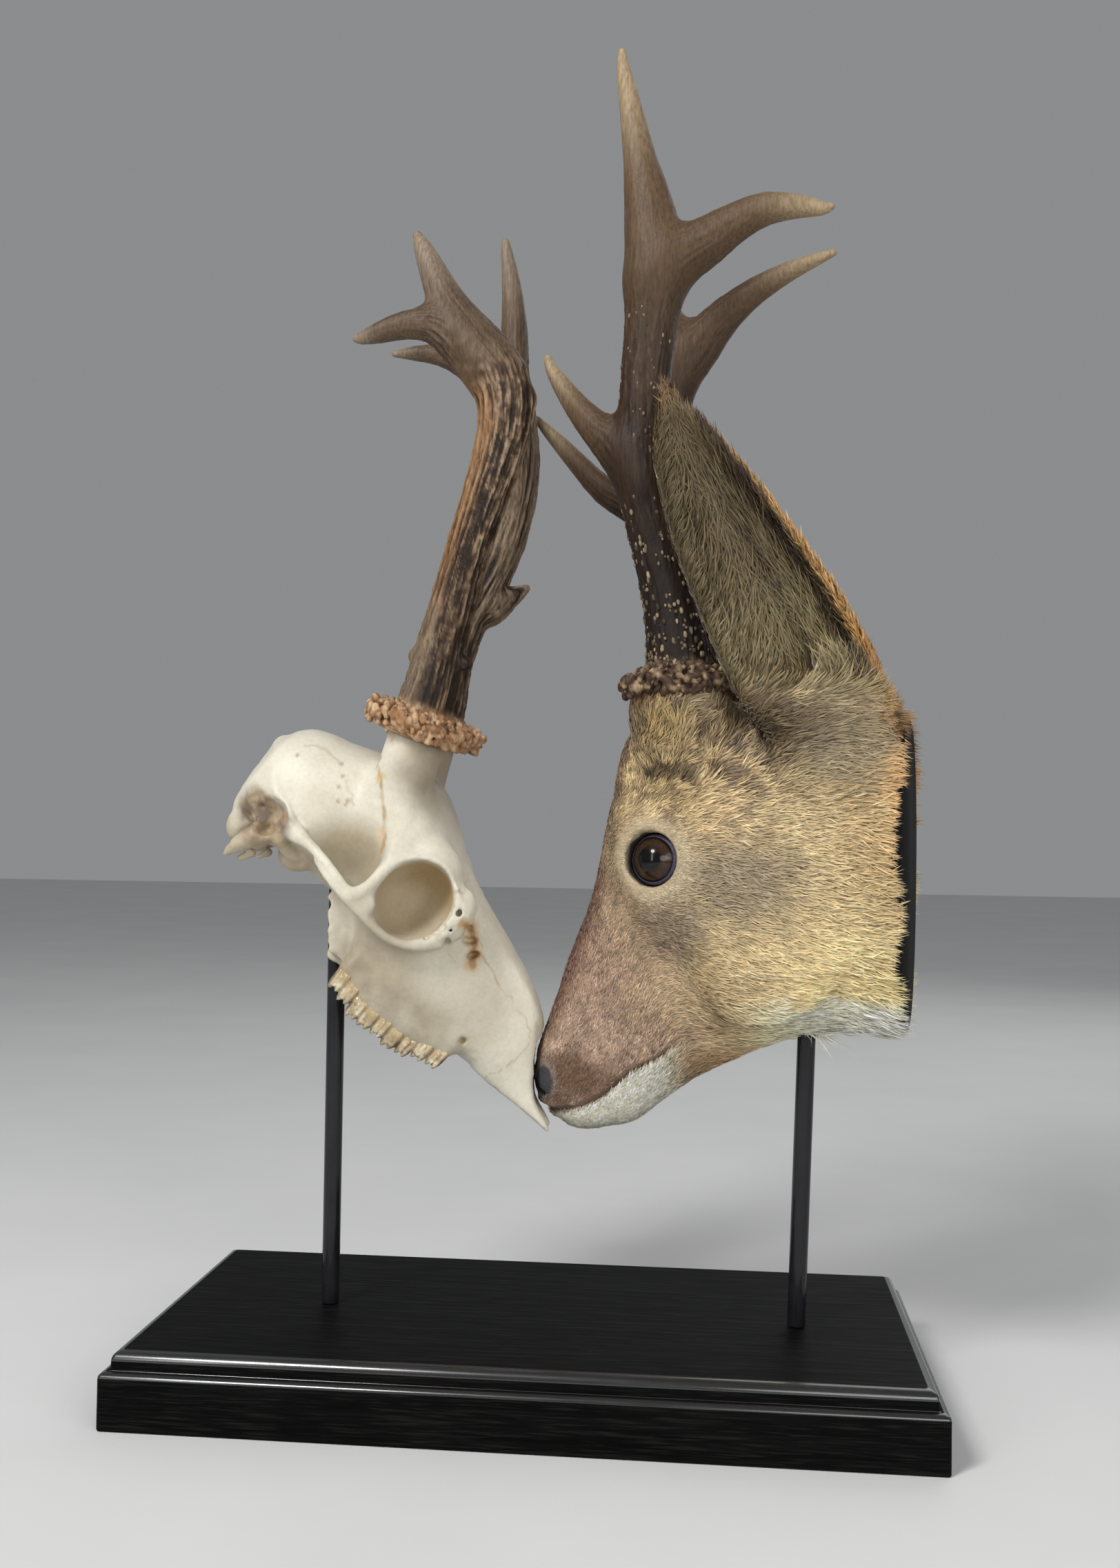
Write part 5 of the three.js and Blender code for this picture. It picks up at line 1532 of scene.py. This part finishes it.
def hair_lie(local, normal):
    """Which way the hair lies at each point, along the skin."""
    x, y, z = local.T
    side = np.sign(y)
    muzzle = smooth_step(-50, -68, x + (z - 180) * 0.42)
    top = smooth_step(232, 276, z)
    angle = np.radians(-9 + 70 * muzzle * (1 - top) + top * np.clip(52 - 0.75 * (x + 30), 8, 85))
    angle += np.radians(13) * layered(local, 22, 221) + np.radians(12) * noise(local, 6, 222) * (1 - 0.6 * muzzle)
    angle += np.radians(65) * noise(local, 6, 226) * soft_spot(x, z, (-46, 280), (40, 30))
    angle -= np.radians(14) * smooth_step(190, 165, z) * smooth_step(0, 40, x)
    lie = np.stack([np.cos(angle), side * 0.05 * np.ones(len(x)), np.sin(angle)], 1)
    on_ear, share, across, _ = ear_place(local)
    ear_way = np.stack([-0.40 + 0.1 * noise(local, 9, 223), side * 0.19, 0.90 * np.ones(len(x))], 1)
    inside = smooth_step(0.05, 0.5, normal[:, 1] * side)
    sweep = np.stack([0.55 * np.ones(len(x)), side * 0.35, 0.75 * np.ones(len(x))], 1)
    ear_way = ear_way + (sweep - ear_way) * (inside * smooth_step(0.2, -0.9, across))[:, None]
    lie = lie + (ear_way - lie) * on_ear[:, None]
    lie -= normal * np.einsum("ij,ij->i", lie, normal)[:, None]
    return lie / (np.linalg.norm(lie, axis=1)[:, None] + 1e-9)


def hair_size(local, normal):
    """Length, width and lift of the tufts; length 0 where the skin is bare."""
    x, y, z = local.T
    length = 2.7 + 5.4 * smooth_step(-88, -5, x) + 3.2 * smooth_step(5, 45, x)
    length *= 1 + 0.3 * soft_spot(x, z, (-46, 282), (40, 30))
    width = 0.56 + 0.22 * smooth_step(-90, 0, x)
    lift = 0.17 + 0.05 * smooth_step(0, 40, x) + 0.16 * soft_spot(x, z, (-46, 282), (40, 30))
    on_ear, share, across, depth = ear_place(local)
    inside = smooth_step(0.05, 0.5, normal[:, 1] * np.sign(y))
    ear_length = 5.0 + inside * 10.0 * smooth_step(0.97, 0.6, np.abs(across)) * smooth_step(0.98, 0.7, share)
    ear_length += 3.0 * smooth_step(0.9, 0.99, share)
    length = length + (ear_length - length) * on_ear
    lift = lift + (0.16 + 0.14 * inside - lift) * on_ear
    over = 5.0 * smooth_step(-0.25, 0.4, noise(local, 15, 224)) + 1.6 * noise(local, 3.5, 228)
    over += 3.5 * smooth_step(258, 274, z) - 1.5 * smooth_step(0, 20, y)
    length = np.minimum(length, np.clip(before_cut(local) - 2.4 + over, 1.0, before_cut(local) + 1.2))
    wisp = (noise(local, 1.2, 225) > 0.52) * soft_spot(x, z, (4, 157), (18, 9))
    length += 11 * wisp
    nostril = smooth_step(1.12, 0.98, np.hypot((x + 112.5) / 4.4, (z - 133) / 7.4)) * (np.abs(y) > 5)
    bare = np.maximum(np.maximum(nose_pad(local), nostril), smooth_step(13.3, 12.3, eye_far_from_axis(local)))
    bare = np.maximum(bare, smooth_step(1.2, 0.6, near_path(np.stack([x, z], 1), MOUTH)) * smooth_step(-50, -58, x))
    bare = np.maximum(bare, (before_cut(local) < 6.6) * (normal[:, 0] > 0.8))
    eye_close = smooth_step(22, 13, eye_far_from_axis(local))
    return np.where(bare > 0.5, 0, length * (1 - 0.6 * eye_close)), width, lift


def unwrap(local, normal):
    """Where each root lies on an unwrap of the skin: sections against the angle about them, ears apart."""
    order, up, *_ = HEAD_MAP.at(local[:, 0], local[:, 2])
    angle = np.arctan2(up * 30, local[:, 1])
    u = 0.02 + 0.56 * order / HEAD_ROWS[-1][0]
    v = 0.02 + 0.96 * (angle / (2 * math.pi) + 0.5)
    on_ear, share, across, _ = ear_place(local)
    inside = normal[:, 1] * np.sign(local[:, 1]) > 0.05
    row = 2 * (local[:, 1] > 0) + inside
    ear_u = 0.62 + 0.36 * np.clip(share, 0, 1)
    ear_v = 0.02 + 0.24 * row + 0.21 * (np.clip(across, -1.1, 1.1) + 1.1) / 2.2
    ear = on_ear > 0.5
    return np.where(ear, ear_u, u), np.where(ear, ear_v, v)


def tufts(name, local, normal, colours, random, finish):
    """Hair tufts as thin bent blades that lie along the skin."""
    lie = hair_lie(local, normal)
    length, width, lift = hair_size(local, normal)
    count = len(local)
    length = length * random.uniform(0.7, 1.25, count)
    width = width * random.uniform(0.7, 1.3, count)
    lift = lift * random.uniform(0.3, 1.6, count)
    across = np.cross(normal, lie)
    lie = lie + across * random.normal(0, 0.16, count)[:, None]
    across = np.cross(normal, lie) + normal * random.normal(0, 0.25, count)[:, None]
    across *= (width / 2 / np.linalg.norm(across, axis=1))[:, None]
    root = local - normal * 0.35
    middle = root + (lie + normal * lift[:, None] * 1.7) * length[:, None] * 0.5
    tip = root + (lie + normal * lift[:, None]) * length[:, None]
    tip += np.cross(normal, lie) * (random.normal(0, 0.09, count) * length)[:, None]
    points = np.stack([root - across, root + across, middle - across * 0.8, middle + across * 0.8, tip], 1)
    base = np.arange(count)[:, None] * 5
    faces = np.concatenate([base + [0, 1, 3], base + [0, 3, 2], base + [2, 3, 4]], 1).reshape(-1, 3)
    muzzle = smooth_step(-56, -74, local[:, 0] + (local[:, 2] - 180) * 0.42) * (1 - ear_place(local)[0])
    spread = 0.24 + 0.26 * muzzle
    lock = noise(np.stack([local @ EYE_AXIS / 3, np.einsum("ij,ij->i", local, lie) / 7, local[:, 2] / 1.8], 1), 1.0, 241)
    speckle = 1 + spread * random.uniform(-1, 1, count) + 0.22 * lock * (1 - muzzle)
    rosy = random.normal(0, 0.03, count)
    shade = np.clip(colours * speckle[:, None] * np.stack([1 + rosy, np.ones(count), 1 - rosy], 1), 0.004, 0.95)
    muzzle = muzzle * (1 - soft_spot(local[:, 0], local[:, 2], (-99, 134), (27, 14)))
    pale = shade * 1.3 + (muzzle * (random.uniform(0, 1, count) > 0.6))[:, None] * np.array([0.20, 0.14, 0.10])
    deep = shade * (0.55 + 0.33 * smooth_step(0.35, 0.8, shade.mean(1)))[:, None]
    ends = np.stack([deep, deep, shade * 0.95, shade * 0.95, pale], 1)
    piece = mesh_object(name, head_world(points.reshape(-1, 3)), faces, finish, ends.reshape(-1, 3))
    u, v = unwrap(local, normal)
    patch = 0.0015 * np.array([[-1, -1], [1, -1], [-1, 0.2], [1, 0.2], [0, 1]])
    uv = (np.stack([u, v], 1)[:, None] + patch[None]).reshape(-1, 2)
    layer = piece.data.uv_layers.new(name="OFBake")
    layer.data.foreach_set("uv", uv[faces.ravel()].astype(np.float32).ravel())
    return piece


def scattered(points, faces, normal, density, random):
    """Roots spread over the quads by area, as many as `density` per square millimetre says."""
    corner = points[faces]
    area = np.linalg.norm(np.cross(corner[:, 2] - corner[:, 0], corner[:, 3] - corner[:, 1]), axis=1) / 2
    wanted = area * density
    number = np.floor(wanted + random.uniform(0, 1, len(faces))).astype(int)
    face = np.repeat(np.arange(len(faces)), number)
    a, b = random.uniform(0, 1, len(face))[:, None], random.uniform(0, 1, len(face))[:, None]
    weight = np.stack([(1 - a) * (1 - b), a * (1 - b), a * b, (1 - a) * b], 1)
    root = (points[faces[face]] * weight).sum(1)
    normals = (normal[faces[face]] * weight).sum(1)
    return root, normals / np.linalg.norm(normals, axis=1)[:, None]


def skin_finish():
    finish = Finish("hide", Roughness=0.75)
    hairs = finish.cloud(1.0, 3.0, 0.6, finish.stretched((500, 900, 900)))
    fine = finish.cloud(1700.0, 3.0, 0.6)
    soft = finish.ramp(hairs, (0.3, (0.6, 0.58, 0.55)), (0.7, (1.15, 1.12, 1.08)))
    finish.link(finish.blended("MULTIPLY", 0.8, finish.painted(), soft), "Base Color")
    finish.link(finish.bump(fine, 0.5, 0.0004, finish.bump(hairs, 0.6, 0.0008)), "Normal")
    return finish.made


def coat_finish():
    finish = Finish("coat", Roughness=0.55, Sheen_Weight=0.12, Sheen_Roughness=0.4)
    finish.shader.inputs["Sheen Tint"].default_value = (1.0, 0.92, 0.8, 1)
    clump = finish.cloud(420.0, 3.0, 0.6)
    soft = finish.ramp(clump, (0.3, (0.72, 0.70, 0.67)), (0.68, (1.12, 1.1, 1.08)))
    finish.link(finish.blended("MULTIPLY", 0.7, finish.painted(), soft), "Base Color")
    finish.link(finish.ramp(clump, (0.3, 0.62), (0.7, 0.48)), "Roughness")
    return finish.made


def make_eyes():
    finish = Finish("glass_eye", Roughness=0.22, Specular_IOR_Level=0.12, Coat_Weight=0.6, Coat_Roughness=0.03, Coat_IOR=1.4)
    rays = finish.cloud(600.0, 4.0, 0.6)
    varied = finish.ramp(rays, (0.3, (0.7, 0.65, 0.6)), (0.7, (1.3, 1.25, 1.2)))
    finish.link(finish.blended("MULTIPLY", 0.8, finish.painted(), varied), "Base Color")
    for side, name in ((-1, "eye_left"), (1, "eye_right")):
        mesh_rows, mesh_columns = 48, 64
        polar = np.linspace(0, math.pi * 0.62, mesh_rows)
        around = np.linspace(0, 2 * math.pi, mesh_columns, endpoint=False)
        u = np.cross(EYE_AXIS, (0, 0, 1))
        u /= np.linalg.norm(u)
        v = np.cross(u, EYE_AXIS)
        grid_polar, grid_around = np.meshgrid(polar, around, indexing="ij")
        bulge = EYE_RADIUS + 0.7 * smooth_step(0.75, 0.2, grid_polar)
        flat = bulge * np.sin(grid_polar)
        horizontal, vertical = flat * np.cos(grid_around), flat * np.sin(grid_around)
        points = (
            EYE
            + (bulge * np.cos(grid_polar))[..., None] * EYE_AXIS
            + horizontal[..., None] * u
            + vertical[..., None] * v
        ).reshape(-1, 3)
        horizontal, vertical = horizontal.ravel(), vertical.ravel()
        pupil = np.hypot(horizontal / 5.6, vertical / 4.2)
        iris = np.hypot(horizontal, vertical)
        colours = np.tile([0.012, 0.007, 0.004], (len(points), 1))
        colours = tint(colours, (0.036, 0.019, 0.010), smooth_step(4.6, 7.6, iris) * smooth_step(9.3, 8.4, iris))
        colours = tint(colours, (0.004, 0.003, 0.003), smooth_step(8.9, 9.3, iris))
        # Painted reflection: a pale violet ring near the edge of the glass.
        colours = tint(colours, (0.150, 0.140, 0.200), smooth_step(9.6, 10.0, iris) * smooth_step(11.3, 10.6, iris) * 0.85)
        colours = tint(colours, (0.0015, 0.0015, 0.002), smooth_step(1.12, 0.95, pupil))
        i, j = np.meshgrid(np.arange(mesh_rows - 1), np.arange(mesh_columns), indexing="ij")
        k = (j + 1) % mesh_columns
        faces = np.stack([i * mesh_columns + j, (i + 1) * mesh_columns + j, (i + 1) * mesh_columns + k, i * mesh_columns + k], -1)
        points = points * [1, side, 1]
        faces = faces.reshape(-1, 4)
        world = head_world(points)
        normal = normals_of(points, faces)
        if np.einsum("ij,ij->", normal, points - EYE * [1, side, 1]) < 0:
            faces = faces[:, ::-1]
        eye = mesh_object("head_" + name, world, faces, finish.made, colours)


HEAD_ANTLERS = [
    {
        "name": "head_antler_left",
        "foot": [-49.5, -29, 303.5],
        "beam": [
            [-49, -29, 300, 14.5],
            [-50, -30, 325, 13.6],
            [-53, -31.5, 345, 12],
            [-58, -33, 367, 11.4],
            [-63, -34.5, 388, 11.6],
            [-65, -36, 412, 11.4],
            [-64.5, -37, 438, 10.8],
            [-62, -38, 463, 11.4],
            [-60.5, -38.5, 486, 12.8],
            [-62.5, -38.5, 512, 11.4],
            [-67.5, -38, 538, 7.4],
            [-72.5, -37.5, 564, 4.8],
            [-75.6, -37, 580, 3],
            [-76.4, -37, 587.5, 1.8],
        ],
        "tines": [
            [
                [-60, -38, 484, 11],
                [-50, -38.5, 493, 12],
                [-38, -39, 499, 10.4],
                [-25, -39.5, 506, 8.2],
                [-12, -40, 510.5, 6.8],
                [2, -40, 510, 4.8],
                [11, -39.5, 508.5, 3],
                [15, -39.5, 508.8, 1.8],
            ],
            [
                [-65, -34.5, 398, 10],
                [-76, -34.5, 412, 10],
                [-86, -34, 422, 7.8],
                [-95, -33.5, 432, 5.8],
                [-103, -33, 443, 4.2],
                [-108, -32.5, 451, 2.8],
                [-110, -32, 456, 1.7],
            ],
        ],
    },
    {
        "name": "head_antler_right",
        "foot": [-49.5, 29, 303.5],
        "beam": [
            [-49, 29, 300, 14],
            [-51, 30, 322, 13],
            [-55, 31.5, 342, 11.8],
            [-62, 33, 364, 11.2],
            [-68, 34.5, 386, 11.4],
            [-71, 36, 410, 11.2],
            [-70.5, 36.5, 436, 11],
            [-68.5, 37, 460, 11.4],
            [-69, 37, 480, 11],
            [-73, 36.5, 500, 8],
            [-77, 36, 520, 5.4],
            [-80, 35.5, 536, 3],
            [-80.8, 35.5, 540.5, 1.8],
        ],
        "tines": [
            [
                [-68, 37, 464, 10],
                [-59, 37, 474, 11.4],
                [-51, 37, 484, 10.2],
                [-41, 37, 494, 8.2],
                [-28, 37, 503.5, 6.4],
                [-12, 37, 511.5, 4.6],
                [2, 37, 516.5, 2.8],
                [9, 37, 518.7, 1.7],
            ],
            [
                [-72, 34.5, 394, 9],
                [-86, 33, 402.5, 8.2],
                [-99, 32, 410, 6.6],
                [-111, 31, 422.5, 5.2],
                [-121, 30.5, 433.5, 4],
                [-129, 30, 442, 2.6],
                [-133, 30, 446.5, 1.7],
            ],
        ],
    },
]


def pearl_places(beam, random, count):
    """Beads of antler, crowded above the burr and rarer higher up."""
    line = polyline(beam, 4)
    pearls = []
    for _ in range(count):
        share = 0.035 + 0.62 * random.uniform(0, 1) ** 2.3
        at = line[int(share * (len(line) - 2))]
        after = line[int(share * (len(line) - 2)) + 1]
        axis = (after[:3] - at[:3]) / np.linalg.norm(after[:3] - at[:3])
        u, v = across_axis(axis)
        angle = random.uniform(0, 2 * math.pi)
        size = random.uniform(0.45, 1.0) * (1.2 - 0.8 * share)
        out = u * math.cos(angle) + v * math.sin(angle)
        place = at[:3] + (after[:3] - at[:3]) * random.uniform(0, 1) + out * (at[3] - 0.15)
        sizes = (size * random.uniform(0.7, 1.1), size * random.uniform(0.9, 2.0), size * random.uniform(0.8, 1.1))
        light = (0.12 + 0.88 * random.uniform(0, 1) ** 1.3) * (1 - 0.45 * share)
        pearls.append((place, sizes, out, axis, light))
    return pearls


def head_antler_colours(points, normal, height, lines, share, branch, clear):
    grain = layered(points, 3, 111)
    colours = np.tile([0.040, 0.022, 0.013], (len(points), 1))
    colours = tint(colours, (0.012, 0.007, 0.0045), smooth_step(0.15, -0.5, lines) * 0.85)
    colours = tint(colours, (0.090, 0.056, 0.033), smooth_step(0.2, 0.9, lines + grain * 0.4) * 0.6)
    colours = tint(colours, (0.012, 0.0075, 0.005), smooth_step(120, 40, height) * 0.9)
    past = smooth_step(425, 520, points[:, 2] + 6 * grain)
    past = np.maximum(past, smooth_step(0.15, 0.6, share) * (branch > 0))
    colours = tint(colours, (0.118, 0.076, 0.044), past * 0.9)
    colours = tint(colours, (0.085, 0.052, 0.028), smooth_step(0.55, 0.2, share) * (branch > 0) * past * 0.8)
    far = np.where(branch == 0, smooth_step(0.76, 0.98, share), smooth_step(0.55, 1.0, share))
    colours = tint(colours, (0.37, 0.29, 0.185), far * 0.9)
    beads = tint(np.tile([0.060, 0.034, 0.021], (len(points), 1)), (0.42, 0.31, 0.195), smooth_step(-0.1, 0.6, grain))
    return colours + (beads - colours) * (1 - clear)[:, None]


def make_head():
    points, faces = surface(skin_steps(), (-127, -75, 106), (52, 75, 436), 1.2)
    faces = outward(points - points.mean(0), faces)
    points = relaxed(points, faces, 2)
    normal = normals_of(points, faces)
    x, y, z = points.T
    flat = np.stack([x, z], 1)
    groove = smooth_step(2.4, 0.4, near_path(flat, MOUTH)) * smooth_step(-48, -60, x)
    lip = smooth_step(6, 3, near_path(flat, MOUTH)) * smooth_step(-50, -64, x) * (1 - groove)
    points = points + normal * (lip * 0.7 - groove * 1.5)[:, None]
    bare = (before_cut(points) < 6.9) & (normal[:, 0] > 0.7)
    points = points + normal * (layered(points, 9, 231) * 0.35 * ~bare)[:, None]
    colours = coat_colours(points, normal) * 0.8
    colours[bare] = 0.01
    world = head_world(points)
    skin = mesh_object("head_skin", world, faces, skin_finish(), colours)
    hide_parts("deer_head")
    make_eyes()
    make_back_panel()
    finish = antler_finish("antler_fresh")
    for seed, antler in enumerate(HEAD_ANTLERS, 31):
        random = np.random.default_rng(seed)
        make_antler({**antler, "knobs": []}, (25.5, 12.5, 1.0), 0.74, head_antler_colours, finish, 0.35, seed,
                    pearl_places(antler["beam"], random, 760), head_world)
    make_coat(points, faces, normal)


def make_back_panel():
    """The black board that closes the neck, its edge set in from the hair."""
    finish = Finish("back_board", Roughness=0.8, Specular_IOR_Level=0.1)
    brushed = finish.cloud(300.0, 4.0, 0.6)
    finish.link(finish.ramp(brushed, (0.3, (0.0035, 0.0035, 0.004)), (0.7, (0.008, 0.008, 0.0085))), "Base Color")
    finish.link(finish.bump(brushed, 0.3, 0.0003), "Normal")
    _, rows = smooth_table(HEAD_ROWS, 0.1)
    section = rows[np.argmin(np.abs(rows[:, 0] - 46))]
    loops = []
    for behind, inset in ((-6.1, 4.4), (-5.8, 3.8), (-0.9, 3.8), (-0.5, 4.4)):
        angles = np.linspace(0, 2 * math.pi, 96, endpoint=False)
        across = np.sign(np.cos(angles)) * np.abs(np.cos(angles)) ** (2 / 2.25)
        up = np.sign(np.sin(angles)) * np.abs(np.sin(angles)) ** (2 / 2.25)
        middle, half = (section[1] + section[3]) / 2, (section[1] - section[3]) / 2 - inset
        wide = across * (section[4] - inset) * (0.93 + 0.07 * up)
        loops.append(head_world(np.stack([NECK_CUT + behind + NECK_LEAN * wide, wide, middle + up * half], 1)))
    panel = lofted("head_back_board", loops, finish.made)


def make_coat(points, faces, normal):
    random = np.random.default_rng(77)
    middle = points[faces].mean(1)
    on_ear = ear_place(middle)[0]
    face = smooth_step(-10, -60, middle[:, 0])
    density = 1.9 + 1.7 * face
    density = density + (1.7 - density) * on_ear
    roots, normals = scattered(points, faces, normal, density, random)
    length = hair_size(roots, normals)[0]
    kept = length > 0.2
    for antler in HEAD_ANTLERS:
        far = np.linalg.norm(roots - np.array(antler["foot"]) - [0, 0, 4], axis=1)
        kept &= far > 17
    roots, normals = roots[kept], normals[kept]
    colours = coat_colours(roots, normals)
    finish = coat_finish()
    ear = ear_place(roots)[0] > 0.5
    parts = {"coat_ear_left": ear & (roots[:, 1] < 0), "coat_ear_right": ear & (roots[:, 1] >= 0)}
    bounds = [-999, -84, -52, -24, 4, 28, 999]
    for number, (low, high) in enumerate(zip(bounds[:-1], bounds[1:]), 1):
        parts[f"coat_head_{number}"] = ~ear & (roots[:, 0] >= low) & (roots[:, 0] < high)
    for name, chosen in parts.items():
        print(name, int(chosen.sum()), "tufts")
        tufts(name, roots[chosen], normals[chosen], colours[chosen], random, finish)


# ---- Making of the whole ------------------------------------------------------------------------------------------

add_camera()
add_studio()
make_stand()
make_skull()
make_skull_antlers()
make_head()
